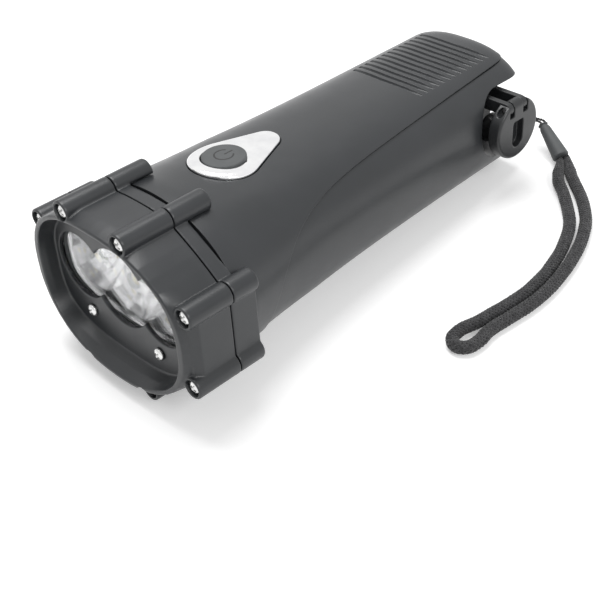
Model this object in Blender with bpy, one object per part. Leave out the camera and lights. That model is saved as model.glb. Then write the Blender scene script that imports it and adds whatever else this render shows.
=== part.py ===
"""Hand crank flashlight: a wide octagonal head with three LEDs, a tapered barrel in two shells, a sprung
switch on top, and a folding crank in a round pocket at the tail that drives a generator through a gear train.

The torch is modelled along its own axes: X to its right, Y from the front rim to the tail, Z up, with the
origin at the middle of the front rim. All of it hangs on the empty "torch", which tips it onto its head and
tail, so that the table is at Z = 0. The wrist strap lies on the table, in table coordinates. Lengths are in
metres, angles in radians.
"""

import math

import bpy
from mathutils import Matrix, Vector

# Fits
gap = 0.0003
slip = 0.0002
overrun = 0.004

# Head: eight screw bosses stand on the corners of a wide octagon
corner_top_x = 0.0120
corner_top_z = 0.0246
corner_side_x = 0.0329
corner_side_z = 0.0113
facet_bulge = 0.0008
boss_radius = 0.0033
bezel_length = 0.0165
rim_share = 0.935
rim_chamfer = 0.0008
rim_chamfer_share = 0.020
rim_taper_length = 0.0055
rim_bow = 0.0015
side_panel_x = 0.0344
side_panel_start = 0.0034
side_panel_bevel = 0.0012
top_boss_start = 0.0003
side_boss_start = 0.0021

# Mouth of the head, and the ledge that frames the reflector
mouth_half_width = 0.0285
mouth_half_height = 0.0194
mouth_squareness = 3.0
mouth_flare_width = 0.0007
mouth_flare_height = 0.0016
ledge_depth = 0.0063
ledge_thickness = 0.0014
cavity_half_width = 0.0286
cavity_half_height = 0.0204

# Reflector: one wide cell between two narrower ones
cell_pitch = 0.0170
cell_height = 0.0024
middle_cell_radius = 0.0116
window_margin = 0.0003
flange_thickness = 0.0036
flange_side_room = 0.0008
flange_top_room = 0.0032
flange_half_width = cavity_half_width - flange_side_room
flange_half_height = cavity_half_height - flange_top_room
reflector_wall = 0.0008
outer_cell_radius = flange_half_width - reflector_wall - slip - cell_pitch
cup_depth = 0.0111
led_hole_radius = 0.0031

# Lens and its gasket, in a recess of the reflector's flange
gasket_thickness = 0.0006
gasket_width = 0.0012
lens_thickness = 0.0012
lens_side_edge = 0.0008
lens_top_edge = 0.0018
lens_height = 0.0024
lens_half_width = flange_half_width - lens_side_edge
lens_half_height = flange_half_height - lens_height - lens_top_edge

# LEDs on their board
led_radius = 0.0025
led_length = 0.0086
led_collar_radius = 0.0028
led_collar_thickness = 0.0010
led_board_thickness = 0.0014
led_board_half_width = 0.0240
led_board_half_height = 0.0070

# Pan-head screws
bezel_screw_head_radius = 0.0022
bezel_screw_head_height = 0.0014
bezel_screw_radius = 0.0011
bezel_screw_length = 0.0190
bezel_screw_depth = 0.0003
reflector_screw_x = 0.0149
reflector_screw_z = -0.0120
reflector_screw_head_radius = 0.0019
reflector_screw_head_height = 0.0010
reflector_screw_radius = 0.0009
reflector_screw_length = 0.0045

# Barrel: superellipse sections that flare towards the head
barrel_length = 0.1538
waist_half_width = 0.0265
waist_half_height = 0.0205
flare_start = 0.0320
head_flare_width = 0.0047
head_flare_height = 0.0042
flare_width_reach = 0.0250
flare_height_reach = 0.0450
flare_end = 0.0260
tail_rise = 0.0029
front_squareness = 2.1
tail_squareness = 2.5
squareness_reach = 0.0300
wall = 0.0022
spigot_length = 0.0046
spigot_step = 0.0020
spigot_wall = 0.0017
tail_round_length = 0.0055
tail_round_depth = 0.0017

# Collar behind the bezel, with fingers that run back over the barrel
collar_length = 0.0047
collar_bore_gap = 0.0003
collar_chamfer = 0.0012
top_finger_end = 0.0295
side_finger_end = 0.0254

# Line where the top shell overlaps the lower shell
seam = 0.0004
lower_shell_inset = 0.0005
line_level = 0.0132
line_slope_share = 0.0500
line_drop = 0.0161
line_drop_y = 0.0380
line_drop_reach = 0.0090

# Grip grooves across the tail of the top shell
groove_count = 13
first_groove_from_tail = 0.0413
groove_pitch = 0.0027
groove_half_length = 0.0140
groove_width = 0.0013
groove_depth = 0.0007
groove_bow = 0.0022

# Switch: a chromed drop-shaped plate round a rubber button
switch_y = 0.0472
plate_front_radius = 0.0104
plate_tail_radius = 0.0046
plate_tail_distance = 0.0152
plate_seat = 0.0006
plate_rise = 0.0012
plate_bevel = 0.0013
plate_edge_rise = 0.0004
button_radius = 0.0064
button_rise = 0.0018
button_crown = 0.0006
button_skirt_thickness = 0.0014
button_stem_radius = 0.0022
button_travel = 0.0008
switch_tilt_share = 0.045

# Main board with the tact switch, hung from the top shell
board_half_width = 0.0105
board_front_y = 0.0340
board_rear_y = 0.0750
board_top_z = 0.0146
board_thickness = 0.0012
board_post_radius = 0.0026
board_post_x = 0.0076
tact_half_width = 0.0030
tact_height = 0.0035
tact_plunger_radius = 0.0015
tact_plunger_rise = 0.0011
board_screw_radius = 0.0009
board_screw_head_radius = 0.0018
board_screw_head_height = 0.0009
board_screw_length = 0.0052

# Rechargeable cells in their cradle under the board
cell_count = 3
battery_radius = 0.0077
battery_cell_length = 0.0058
cradle_wall = 0.0010

# Crank pocket in the right-hand side of the tail
crank_from_tail = 0.0128
crank_y = barrel_length - crank_from_tail
crank_z = 0.0050
pocket_radius = 0.0113
pocket_floor_x = 0.0110
cup_wall = 0.0022

# Crank: a hub with two ears, and a round arm that folds over it
hub_radius = 0.0098
hub_thickness = 0.0030
hub_shaft_radius = 0.0025
arm_radius = 0.0100
arm_thickness = 0.0044
arm_inner_x = 0.0271
fold_offset = 0.0074
knuckle_radius = 0.0020
knuckle_half_width = 0.0022
ear_thickness = 0.0019
fold_pin_radius = 0.0010
arm_edge = 0.0008
thumb_slot_half_width = 0.0026
thumb_slot_depth = 0.0024
thumb_slot_low_z = -0.0062
thumb_slot_high_z = 0.0042
knob_offset = -0.0030
knob_radius = 0.0050
knob_length = 0.0072
knob_pin_radius = 0.0016
knob_waist = 0.0007
knob_screw_head_radius = 0.0026
knob_screw_head_height = 0.0010
knob_screw_radius = 0.0008
knob_screw_length = 0.0050
retainer_radius = 0.0040
retainer_thickness = 0.0010

# Gear train between two plates
gear_module = 0.0006
gear_width = 0.0024
drive_teeth = 32
pinion_teeth = 10
first_wheel_teeth = 32
second_wheel_teeth = 28
rotor_pinion_teeth = 10
plate_thickness = 0.0016
axle_radius = 0.0010
pillar_radius = 0.0019
gearbox_screw_radius = 0.0007
gearbox_screw_head_radius = 0.0016
gearbox_screw_head_height = 0.0009
gearbox_screw_length = 0.0175
train_fall_share = 0.105
pillar_lean_share = 0.260

# Generator
magnet_radius = 0.0068
magnet_length = 0.0080
coil_inner_radius = 0.0076
coil_outer_radius = 0.0112
coil_length = 0.0080
can_wall = 0.0010
can_length = 0.0112

# Long screws that hold the lower shell to the top shell
body_screw_front_x = 0.0160
body_screw_front_from_tail = 0.0738
body_screw_rear_x = 0.0122
body_screw_rear_from_tail = 0.0323
body_post_radius = 0.0032
body_post_split_z = -0.0020
body_screw_head_radius = 0.0021
body_screw_head_height = 0.0013
body_screw_radius = 0.0010
body_screw_length = 0.0120
body_screw_seat_z = -0.0100

# Lanyard eye on the tail
eye_x = 0.0045
eye_z = 0.0030
eye_thickness = 0.0022
eye_radius = 0.0027
eye_hole_radius = 0.0013

# Wrist strap: a string through the eye, a tapered ferrule, and a loop of soft cord
string_diameter = 0.0009
string_spacing = 0.0015
string_sag = 0.0012
string_point_pitch = 0.0024
ferrule_front = (0.0235, 0.0872, 0.0087)
ferrule_rear = (0.0348, 0.0818, 0.0031)
ferrule_front_radius = 0.0017
ferrule_rear_radius = 0.0028
strap_diameter = 0.0038
strap_squeeze_share = 0.58
strap_squeeze_length = 0.0070
strap_spacing = 0.0026
strap_point_pitch = 0.0038

# Route of the cord on the table, seen from above: out from the ferrule, round the far end, and back
strap_route = [
    (0.0437, 0.0752), (0.0502, 0.0697), (0.0560, 0.0640), (0.0608, 0.0577), (0.0646, 0.0502),
    (0.0673, 0.0424), (0.0693, 0.0336), (0.0704, 0.0246), (0.0702, 0.0160), (0.0689, 0.0079),
    (0.0678, 0.0006), (0.0682, -0.0042), (0.0674, -0.0082), (0.0646, -0.0100), (0.0617, -0.0083),
    (0.0612, -0.0042), (0.0630, 0.0016), (0.0645, 0.0088), (0.0658, 0.0164), (0.0661, 0.0244),
    (0.0651, 0.0328), (0.0632, 0.0408), (0.0604, 0.0483), (0.0568, 0.0550), (0.0520, 0.0607),
    (0.0465, 0.0664), (0.0407, 0.0718),
]

# Facets
ring_points = 36
inner_ring_points = 16
round_sides = 20
small_sides = 10
facet_steps = 2


# Colours of the materials: red, green, blue, roughness, metallic
finishes = {
    "black_abs": (0.020, 0.021, 0.023, 0.42, 0.0),
    "bezel_abs": (0.017, 0.018, 0.020, 0.38, 0.0),
    "rubber": (0.045, 0.047, 0.052, 0.65, 0.0),
    "chrome": (0.80, 0.81, 0.82, 0.08, 1.0),
    "screw_steel": (0.72, 0.72, 0.72, 0.20, 1.0),
    "steel": (0.55, 0.55, 0.56, 0.30, 1.0),
    "reflector_chrome": (0.90, 0.90, 0.90, 0.06, 1.0),
    "clear_lens": (0.93, 0.95, 0.97, 0.05, 0.0),
    "led_epoxy": (0.90, 0.92, 0.95, 0.05, 0.0),
    "board_green": (0.030, 0.180, 0.080, 0.40, 0.0),
    "white_nylon": (0.85, 0.84, 0.80, 0.45, 0.0),
    "battery_wrap": (0.10, 0.30, 0.16, 0.40, 0.0),
    "copper": (0.72, 0.35, 0.18, 0.30, 1.0),
    "magnet_grey": (0.12, 0.12, 0.13, 0.50, 0.2),
    "cord_black": (0.015, 0.015, 0.016, 0.85, 0.0),
}


def finish(name):
    """The material of this name, made once."""
    material = bpy.data.materials.get(name)
    if material is None:
        red, green, blue, roughness, metallic = finishes[name]
        material = bpy.data.materials.new(name)
        material.use_nodes = True
        shader = material.node_tree.nodes["Principled BSDF"]
        shader.inputs["Base Color"].default_value = (red, green, blue, 1.0)
        shader.inputs["Roughness"].default_value = roughness
        shader.inputs["Metallic"].default_value = metallic
        material.diffuse_color = (red, green, blue, 1.0)
    return material


# Building blocks

def solid(name, points, faces):
    """A mesh object from points and faces, with its normals made to face out."""
    mesh = bpy.data.meshes.new(name)
    mesh.from_pydata([tuple(point) for point in points], [], faces)
    mesh.update()
    obj = bpy.data.objects.new(name, mesh)
    bpy.context.scene.collection.objects.link(obj)
    volume = 0.0
    mesh.calc_loop_triangles()
    for triangle in mesh.loop_triangles:
        a, b, c = (mesh.vertices[index].co for index in triangle.vertices)
        volume += a.dot(b.cross(c))
    if volume < 0:
        mesh.flip_normals()
    return obj


def loft(name, rings):
    """A closed body through rings of equally many points, capped at both ends."""
    count = len(rings[0])
    points = [point for ring in rings for point in ring]
    faces = []
    for level in range(len(rings) - 1):
        for step in range(count):
            following = (step + 1) % count
            low = level * count
            high = low + count
            faces.append((low + step, low + following, high + following, high + step))
    faces.append(tuple(reversed(range(count))))
    faces.append(tuple(range(len(points) - count, len(points))))
    return solid(name, points, faces)


def ring_body(name, rings):
    """A closed ring-shaped body: the last ring of points joins the first again."""
    count = len(rings[0])
    points = [point for ring in rings for point in ring]
    faces = []
    for level in range(len(rings)):
        for step in range(count):
            following = (step + 1) % count
            low = level * count
            high = (level + 1) % len(rings) * count
            faces.append((low + step, low + following, high + following, high + step))
    return solid(name, points, faces)


def circle(radius, sides, phase=0.0):
    return [
        (radius * math.cos(turn), radius * math.sin(turn))
        for turn in (phase + math.tau * step / sides for step in range(sides))
    ]


def on_axis(axis, along, first, second):
    """A point with the value along on the axis, and the other two in cyclic order."""
    if axis == "X":
        return Vector((along, first, second))
    if axis == "Y":
        return Vector((second, along, first))
    return Vector((first, second, along))


def turned(name, axis, centre, profile, sides=round_sides):
    """A body turned about an axis through centre, from (place along the axis, radius) pairs."""
    rings = [
        [Vector(centre) + on_axis(axis, along, *point) for point in circle(radius, sides)]
        for along, radius in profile
    ]
    return loft(name, rings)


def rod(name, axis, centre, start, end, radius, sides=round_sides):
    return turned(name, axis, centre, [(start, radius), (end, radius)], sides)


def tube_ring(name, axis, centre, start, end, inner, outer, sides=round_sides):
    """A plain ring with a bore."""
    corners = [(start, inner), (end, inner), (end, outer), (start, outer)]
    rings = [
        [Vector(centre) + on_axis(axis, along, *point) for point in circle(radius, sides)]
        for along, radius in corners
    ]
    return ring_body(name, rings)


def extrusion(name, axis, outline, start, end):
    """An outline of two-value points, extruded along the axis."""
    rings = [[on_axis(axis, along, *point) for point in outline] for along in (start, end)]
    return loft(name, rings)


def block(name, low, high):
    outline = [(low[0], low[1]), (high[0], low[1]), (high[0], high[1]), (low[0], high[1])]
    return extrusion(name, "Z", outline, low[2], high[2])


def joined(objects):
    """Several bodies as one object, to be used in one Boolean."""
    target = objects[0]
    points = []
    faces = []
    for obj in objects:
        start = len(points)
        points += [vertex.co.copy() for vertex in obj.data.vertices]
        faces += [tuple(start + index for index in face.vertices) for face in obj.data.polygons]
    mesh = bpy.data.meshes.new(target.name)
    mesh.from_pydata(points, [], faces)
    for obj in objects[1:]:
        bpy.data.objects.remove(obj, do_unlink=True)
    target.data = mesh
    return target


def copied(obj):
    twin = bpy.data.objects.new(obj.name, obj.data.copy())
    bpy.context.scene.collection.objects.link(twin)
    return twin


def combine(target, operation, tools):
    """Applies a Boolean with each tool in turn, and removes the tools."""
    for tool in tools:
        modifier = target.modifiers.new(operation, "BOOLEAN")
        modifier.operation = operation
        modifier.solver = "EXACT"
        modifier.object = tool
        graph = bpy.context.evaluated_depsgraph_get()
        mesh = bpy.data.meshes.new_from_object(target.evaluated_get(graph))
        target.modifiers.clear()
        target.data = mesh
        bpy.data.objects.remove(tool, do_unlink=True)
    return target


def cut(target, *tools):
    return combine(target, "DIFFERENCE", tools)


def add(target, *tools):
    return combine(target, "UNION", tools)


def keep_inside(target, tool):
    return combine(target, "INTERSECT", [tool])


def superellipse(half_width, half_height, squareness, points, centre_z=0.0):
    """Points (x, z) of a rounded oblong: squareness 2 is an ellipse, and more is squarer."""
    power = 2.0 / squareness
    outline = []
    for step in range(points):
        turn = math.tau * step / points
        across = math.cos(turn)
        up = math.sin(turn)
        x = half_width * math.copysign(abs(across) ** power, across)
        z = half_height * math.copysign(abs(up) ** power, up)
        outline.append((x, centre_z + z))
    return outline


def at_depth(outline, y):
    return [Vector((x, y, z)) for x, z in outline]


def two_circles(centre, radius, far_centre, far_radius, steps):
    """The outline round two circles and their outer tangents, anticlockwise."""
    run = Vector(far_centre) - Vector(centre)
    heading = math.atan2(run.y, run.x)
    spread = math.acos((radius - far_radius) / run.length)
    outline = []
    for middle, size, start, end in (
        (Vector(far_centre), far_radius, heading - spread, heading + spread),
        (Vector(centre), radius, heading + spread, heading - spread + math.tau),
    ):
        for step in range(steps + 1):
            turn = start + (end - start) * step / steps
            outline.append(tuple(middle + size * Vector((math.cos(turn), math.sin(turn)))))
    return outline


def hull_of_circles(circles, sides=round_sides):
    """The convex outline round several circles, each given as (u, v, radius)."""
    points = sorted(
        (u + x, v + y) for u, v, radius in circles for x, y in circle(radius, sides)
    )

    def chain(sequence):
        kept = []
        for point in sequence:
            while len(kept) > 1:
                (ax, ay), (bx, by) = kept[-2], kept[-1]
                if (bx - ax) * (point[1] - ay) - (by - ay) * (point[0] - ax) > 0:
                    break
                kept.pop()
            kept.append(point)
        return kept[:-1]

    return chain(points) + chain(reversed(points))


def dress(obj, material, sharp=math.radians(32), origin=None):
    """Gives a finished piece its material, its shading and, where it turns, its origin on the axis."""
    obj.data.materials.clear()
    obj.data.materials.append(finish(material))
    obj.data.shade_smooth()
    obj.data.set_sharp_from_angle(angle=sharp)
    if origin is not None:
        obj.data.transform(Matrix.Translation(-Vector(origin)))
        obj.location = origin
    obj.parent = torch
    return obj


# Shape of the barrel

def barrel_half_width(y):
    past = max(y, flare_end) - flare_start
    return waist_half_width + head_flare_width * math.exp(-past / flare_width_reach)


def barrel_half_height(y):
    past = max(y, flare_end) - flare_start
    return waist_half_height + head_flare_height * math.exp(-past / flare_height_reach)


def barrel_centre_z(y):
    share = (y - flare_start) / (barrel_length - flare_start)
    return tail_rise * min(max(share, 0.0), 1.0)


def barrel_squareness(y):
    share = min(max((y - flare_end) / squareness_reach, 0.0), 1.0)
    return front_squareness + (tail_squareness - front_squareness) * share


def barrel_ring(y, inset, points):
    outline = superellipse(
        barrel_half_width(y) - inset,
        barrel_half_height(y) - inset,
        barrel_squareness(y),
        points,
        barrel_centre_z(y),
    )
    return at_depth(outline, y)


def barrel_top_z(x, y):
    """Height of the barrel's top at this place."""
    share = abs(x) / barrel_half_width(y)
    squareness = barrel_squareness(y)
    return barrel_centre_z(y) + barrel_half_height(y) * (1 - share**squareness) ** (1 / squareness)


def tail_inset(y):
    """How far the rounded tail end draws in at this depth."""
    past = y - (barrel_length - tail_round_length)
    if past <= 0:
        return 0.0
    share = min(past / tail_round_length, 1.0)
    return tail_round_depth * (1 - math.sqrt(1 - share * share))


def barrel_body(name, inset, start_y, end_y, points):
    """A solid barrel, drawn in all over by inset."""
    straight_end = barrel_length - tail_round_length
    stops = [start_y]
    for share in (0.05, 0.12, 0.20, 0.32, 0.50, 1.0):
        stops.append(start_y + (straight_end - start_y) * share)
    for share in (0.50, 0.85, 1.0):
        stops.append(straight_end + (end_y - straight_end) * share)
    return loft(name, [barrel_ring(y, inset + tail_inset(y), points) for y in stops])


barrel_start = bezel_length + gap + collar_length + gap


def hollow_barrel(name, inset):
    """The barrel with its wall, and a thinner spigot at its front that the collar grips."""
    spigot_start = bezel_length + gap
    body = barrel_body(name, inset, barrel_start, barrel_length, ring_points)
    spigot_rings = [
        barrel_ring(y, spigot_step, ring_points) for y in (spigot_start, barrel_start + overrun / 2)
    ]
    add(body, loft("spigot", spigot_rings))
    bore_inset = spigot_step + spigot_wall
    bore_end = barrel_start + wall
    bore = [barrel_ring(y, bore_inset, inner_ring_points) for y in (spigot_start - overrun, bore_end)]
    room_start = bore_end - wall / 2
    room = barrel_body("room", wall + lower_shell_inset, room_start, barrel_length - wall, inner_ring_points)
    return cut(body, loft("bore", bore), room)


def line_height(y):
    """Height of the line between the shells: it dives behind the collar and runs level to the tail."""
    return line_level + line_slope_share * y - line_drop * math.exp(-(y - line_drop_y) / line_drop_reach)


def below_line(name, shift):
    """Everything below the line, moved square to it by shift."""
    bottom = -(waist_half_height + head_flare_height) - overrun * 3
    first_y = line_drop_y - line_drop_reach * math.log((line_level - bottom) / line_drop)
    last_y = barrel_length + overrun
    steps = 28
    outline = []
    for step in range(steps + 1):
        y = first_y + (last_y - first_y) * (step / steps) ** 2
        rise = line_slope_share + line_drop / line_drop_reach * math.exp(-(y - line_drop_y) / line_drop_reach)
        length = math.hypot(1.0, rise)
        outline.append((y + shift * rise / length, line_height(y) - shift / length))
    outline.append((last_y + overrun, outline[-1][1]))
    outline.append((last_y + overrun, bottom - overrun))
    outline.append((outline[0][0], bottom - overrun))
    reach = barrel_half_width(flare_end) + overrun
    return extrusion(name, "X", outline, -reach, reach)


# Head

def octagon(width_share=1.0, height_share=1.0, inset=0.0):
    """Points (x, z) of the head's outline: eight slightly crowned facets."""
    top_x, top_z = corner_top_x * width_share, corner_top_z * height_share - inset
    side_x, side_z = corner_side_x * width_share - inset, corner_side_z * height_share
    corners = [
        (side_x, -side_z), (side_x, side_z), (top_x, top_z), (-top_x, top_z),
        (-side_x, side_z), (-side_x, -side_z), (-top_x, -top_z), (top_x, -top_z),
    ]
    outline = []
    for index, corner in enumerate(corners):
        start, end = Vector(corner), Vector(corners[(index + 1) % len(corners)])
        outward = Vector(((end - start).y, -(end - start).x)).normalized()
        for step in range(facet_steps):
            share = step / facet_steps
            crown = 4 * facet_bulge * share * (1 - share)
            outline.append(tuple(start + (end - start) * share + outward * crown))
    return outline


def boss_places():
    """The eight boss centres (x, z), clockwise from the top left, and whether each is at a side."""
    return [
        (-corner_top_x, corner_top_z, False), (corner_top_x, corner_top_z, False),
        (corner_side_x, corner_side_z, True), (corner_side_x, -corner_side_z, True),
        (corner_top_x, -corner_top_z, False), (-corner_top_x, -corner_top_z, False),
        (-corner_side_x, -corner_side_z, True), (-corner_side_x, corner_side_z, True),
    ]


def bosses(top_span, side_span):
    """The eight bosses, between these depths for those at the top and bottom and those at the sides."""
    return [
        rod("boss", "Y", (x, 0.0, z), *(side_span if at_side else top_span), boss_radius, 14)
        for x, z, at_side in boss_places()
    ]


def screw_top(at_side):
    """Depth of a bezel screw's face, just inside its boss."""
    return bezel_screw_depth + (side_boss_start if at_side else top_boss_start)


def screw_seat(at_side):
    return screw_top(at_side) + bezel_screw_head_height + gap


def cells():
    """Centre x and radius of each reflector cell."""
    return [(-cell_pitch, outer_cell_radius), (0.0, middle_cell_radius), (cell_pitch, outer_cell_radius)]


def rim_ring(y, share):
    """The head's outline at this depth and size: the front of the rim is bowed back towards its sides."""
    bow = rim_bow * (1 - y / rim_taper_length)
    return [Vector((x, y + bow * (x / corner_side_x) ** 2, z)) for x, z in octagon(share, share)]


def mouth_outline(flare_share):
    """The mouth's outline: share 0 is its size at the ledge, share 1 its widest, at the front."""
    return superellipse(
        mouth_half_width + mouth_flare_width * flare_share,
        mouth_half_height + mouth_flare_height * flare_share,
        mouth_squareness, ring_points,
    )


def side_panels(start, end, bevel):
    """The flat panels between the two bosses of each side, bevelled at the front."""
    panels = []
    inner = corner_side_x - facet_bulge * 4
    for side in (-1, 1):
        corners = [
            (side * inner, start), (side * (side_panel_x - bevel), start),
            (side * side_panel_x, start + bevel * 2), (side * side_panel_x, end), (side * inner, end),
        ]
        panels.append(extrusion("side_panel", "Z", corners, -corner_side_z, corner_side_z))
    return panels


def make_bezel():
    rings = [
        rim_ring(0.0, rim_share / 2),
        rim_ring(0.0, rim_share - rim_chamfer_share),
        rim_ring(rim_chamfer, rim_share),
        rim_ring(rim_taper_length, 1.0),
        at_depth(octagon(), bezel_length),
    ]
    body = loft("front_bezel", rings)
    for boss in bosses((top_boss_start, bezel_length), (side_boss_start, bezel_length)):
        add(body, boss)
    add(body, *side_panels(side_panel_start, bezel_length, side_panel_bevel))
    mouth = [
        at_depth(mouth_outline(flare_share), y)
        for y, flare_share in ((-overrun, 1.0), (0.0, 1.0), (ledge_depth, 0.0))
    ]
    cavity = superellipse(cavity_half_width, cavity_half_height, mouth_squareness, ring_points)
    cavity_rings = [at_depth(cavity, y) for y in (ledge_depth + ledge_thickness, bezel_length + overrun)]
    cut(body, loft("mouth", mouth), loft("cavity", cavity_rings))
    for x, radius in cells():
        cut(body, rod("window", "Y", (x, 0.0, cell_height), 0.0, bezel_length, radius + window_margin, 24))
    head_room = bezel_screw_head_radius + gap
    tools = [
        turned(
            "counterbore", "Y", (x, 0.0, z),
            [
                (-overrun, head_room), (screw_seat(at_side), head_room),
                (screw_seat(at_side), bezel_screw_radius + gap),
                (bezel_length + overrun, bezel_screw_radius + gap),
            ],
            12,
        )
        for x, z, at_side in boss_places()
    ]
    tools += [
        rod(
            "screw_hole", "Y", (x, 0.0, reflector_screw_z),
            ledge_depth - overrun / 2, bezel_length, reflector_screw_radius + gap, small_sides,
        )
        for x in (-reflector_screw_x, reflector_screw_x)
    ]
    cut(body, joined(tools))
    return dress(body, "bezel_abs")


def make_collar():
    start = bezel_length + gap
    end = start + collar_length
    rings = [
        at_depth(octagon(), start),
        at_depth(octagon(), end - collar_chamfer),
        at_depth(octagon(inset=collar_chamfer / 2), end),
    ]
    body = loft("head_collar", rings)
    for boss in bosses((start, top_finger_end), (start, side_finger_end)):
        add(body, boss)
    add(body, *side_panels(start, side_finger_end, gap / 2))
    barrel = barrel_body("barrel", -gap, end - collar_chamfer / 4, barrel_length, ring_points)
    bore = [
        barrel_ring(y, spigot_step - collar_bore_gap, ring_points) for y in (start - overrun, end + overrun)
    ]
    cut(body, barrel, loft("bore", bore))
    reach = screw_seat(True) + bezel_screw_length
    holes = [
        rod("screw_hole", "Y", (x, 0.0, z), start - overrun, reach, bezel_screw_radius + gap, small_sides)
        for x, z, _ in boss_places()
    ]
    cut(body, joined(holes))
    return dress(body, "bezel_abs")


def make_screw(
    name, axis, centre, way, head_radius, head_height, radius, length, material="screw_steel", sides=8
):
    """A pan-head screw. centre is the top of its head, and way is the direction that it is driven in."""
    crown_share = 0.40
    profile = [
        (0.0, head_radius * 0.75), (way * head_height * crown_share, head_radius),
        (way * head_height, head_radius),
        (way * head_height, radius), (way * (head_height + length), radius),
    ]
    return dress(turned(name, axis, centre, profile, sides), material)


def make_bezel_screws():
    for number, (x, z, at_side) in enumerate(boss_places(), start=1):
        make_screw(
            f"bezel_screw_{number}", "Y", (x, screw_top(at_side), z), 1, bezel_screw_head_radius,
            bezel_screw_head_height, bezel_screw_radius, bezel_screw_length, sides=10,
        )


flange_front_y = ledge_depth + ledge_thickness + gap
gasket_y = flange_front_y
lens_y = gasket_y + gasket_thickness + gap
recess_y = lens_y + lens_thickness + gap
cup_end_y = recess_y + cup_depth
led_board_y = cup_end_y + gap


def cup_radius(mouth_radius, y):
    """A paraboloid's radius, from its mouth at the recess to the LED's hole."""
    share = min(max((cup_end_y - y) / cup_depth, 0.0), 1.0)
    return led_hole_radius + (mouth_radius - led_hole_radius) * math.sqrt(share)


def make_reflector():
    outline = superellipse(flange_half_width, flange_half_height, mouth_squareness, ring_points)
    flange_end_y = flange_front_y + flange_thickness
    body = loft("reflector", [at_depth(outline, y) for y in (flange_front_y, flange_end_y)])
    steps = 4
    stops = [recess_y + cup_depth * (1 - (1 - step / steps) ** 2) for step in range(steps + 1)]
    hollows = []
    for x, radius in cells():
        centre = (x, 0.0, cell_height)
        outer = [(y, cup_radius(radius, y) + reflector_wall) for y in stops]
        add(body, turned("cup", "Y", centre, outer, 16))
        inner = [(recess_y - overrun, radius)] + [(y, cup_radius(radius, y)) for y in stops]
        inner.append((cup_end_y + overrun, led_hole_radius))
        hollows.append(turned("cup_room", "Y", centre, inner, 20))
    recess = superellipse(
        lens_half_width + gap, lens_half_height + gap, mouth_squareness, ring_points, lens_height
    )
    cut(body, loft("recess", [at_depth(recess, y) for y in (flange_front_y - overrun, recess_y)]), *hollows)
    holes = [
        rod(
            "screw_hole", "Y", (x, 0.0, reflector_screw_z),
            flange_front_y - overrun, flange_end_y + overrun, reflector_screw_radius + gap, small_sides,
        )
        for x in (-reflector_screw_x, reflector_screw_x)
    ]
    cut(body, joined(holes))
    return dress(body, "reflector_chrome")


def make_lens_and_gasket():
    outer = superellipse(lens_half_width, lens_half_height, mouth_squareness, ring_points, lens_height)
    inner = superellipse(
        lens_half_width - gasket_width, lens_half_height - gasket_width,
        mouth_squareness, ring_points, lens_height,
    )
    gasket_rings = [
        at_depth(outer, gasket_y), at_depth(outer, gasket_y + gasket_thickness),
        at_depth(inner, gasket_y + gasket_thickness), at_depth(inner, gasket_y),
    ]
    dress(ring_body("lens_gasket", gasket_rings), "rubber")
    dress(loft("lens", [at_depth(outer, y) for y in (lens_y, lens_y + lens_thickness)]), "clear_lens")


def make_reflector_screws():
    top = ledge_depth - gap - reflector_screw_head_height
    for side, x in (("left", -reflector_screw_x), ("right", reflector_screw_x)):
        make_screw(
            f"reflector_screw_{side}", "Y", (x, top, reflector_screw_z), 1, reflector_screw_head_radius,
            reflector_screw_head_height, reflector_screw_radius, reflector_screw_length,
        )


def make_leds():
    outline = superellipse(
        led_board_half_width, led_board_half_height, mouth_squareness, inner_ring_points, cell_height
    )
    board_end = led_board_y + led_board_thickness
    dress(loft("led_board", [at_depth(outline, y) for y in (led_board_y, board_end)]), "board_green")
    base = led_board_y - gap
    for name, (x, _) in zip(("led_left", "led_centre", "led_right"), cells()):
        straight_end = base - led_length + led_radius
        profile = [
            (base, led_collar_radius), (base - led_collar_thickness, led_collar_radius),
            (base - led_collar_thickness, led_radius), (straight_end, led_radius),
        ]
        for share in (0.45, 0.80, 0.97):
            radius = led_radius * math.sqrt(1 - share * share)
            profile.append((straight_end - led_radius * share, radius))
        dress(turned(name, "Y", (x, 0.0, cell_height), profile, 12), "led_epoxy")


# Shells

def body_screw_places():
    return [
        (side * x, y)
        for x, y in (
            (body_screw_front_x, barrel_length - body_screw_front_from_tail),
            (body_screw_rear_x, barrel_length - body_screw_rear_from_tail),
        )
        for side in (-1, 1)
    ]


def board_post_places():
    inset = board_post_radius + gap
    return [(-board_post_x, board_front_y + inset), (board_post_x, board_rear_y - inset)]


def groove_cutter():
    """Bowed channels across the top: each follows the barrel's crown at a steady depth."""
    steps = 4
    grooves = []
    for number in range(groove_count):
        middle_y = barrel_length - first_groove_from_tail + groove_pitch * number
        rings = []
        for step in range(steps + 1):
            across = 2 * step / steps - 1
            x = groove_half_length * across
            y = middle_y + groove_bow * across * across
            z = barrel_top_z(x, y)
            half = groove_width / 2
            rings.append([
                Vector((x, y - half, z + overrun)), Vector((x, y + half, z + overrun)),
                Vector((x, y + half / 2, z - groove_depth)), Vector((x, y - half / 2, z - groove_depth)),
            ])
        grooves.append(loft("groove", rings))
    return joined(grooves)


def drop_outline(margin):
    """The switch plate's outline, wider round the button than at its tail."""
    tail = (0.0, switch_y + plate_tail_distance)
    return two_circles((0.0, switch_y), plate_front_radius + margin, tail, plate_tail_radius + margin, 14)


def over_barrel(outline, height):
    """An outline (x, y) laid on the barrel's top, raised by height."""
    return [Vector((x, y, barrel_top_z(x, y) + height)) for x, y in outline]


button_top_z = barrel_top_z(0.0, switch_y) + button_rise
button_skirt_z = button_top_z - button_crown - plate_rise - plate_seat - gap
tact_top_z = board_top_z + gap + tact_height


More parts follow.
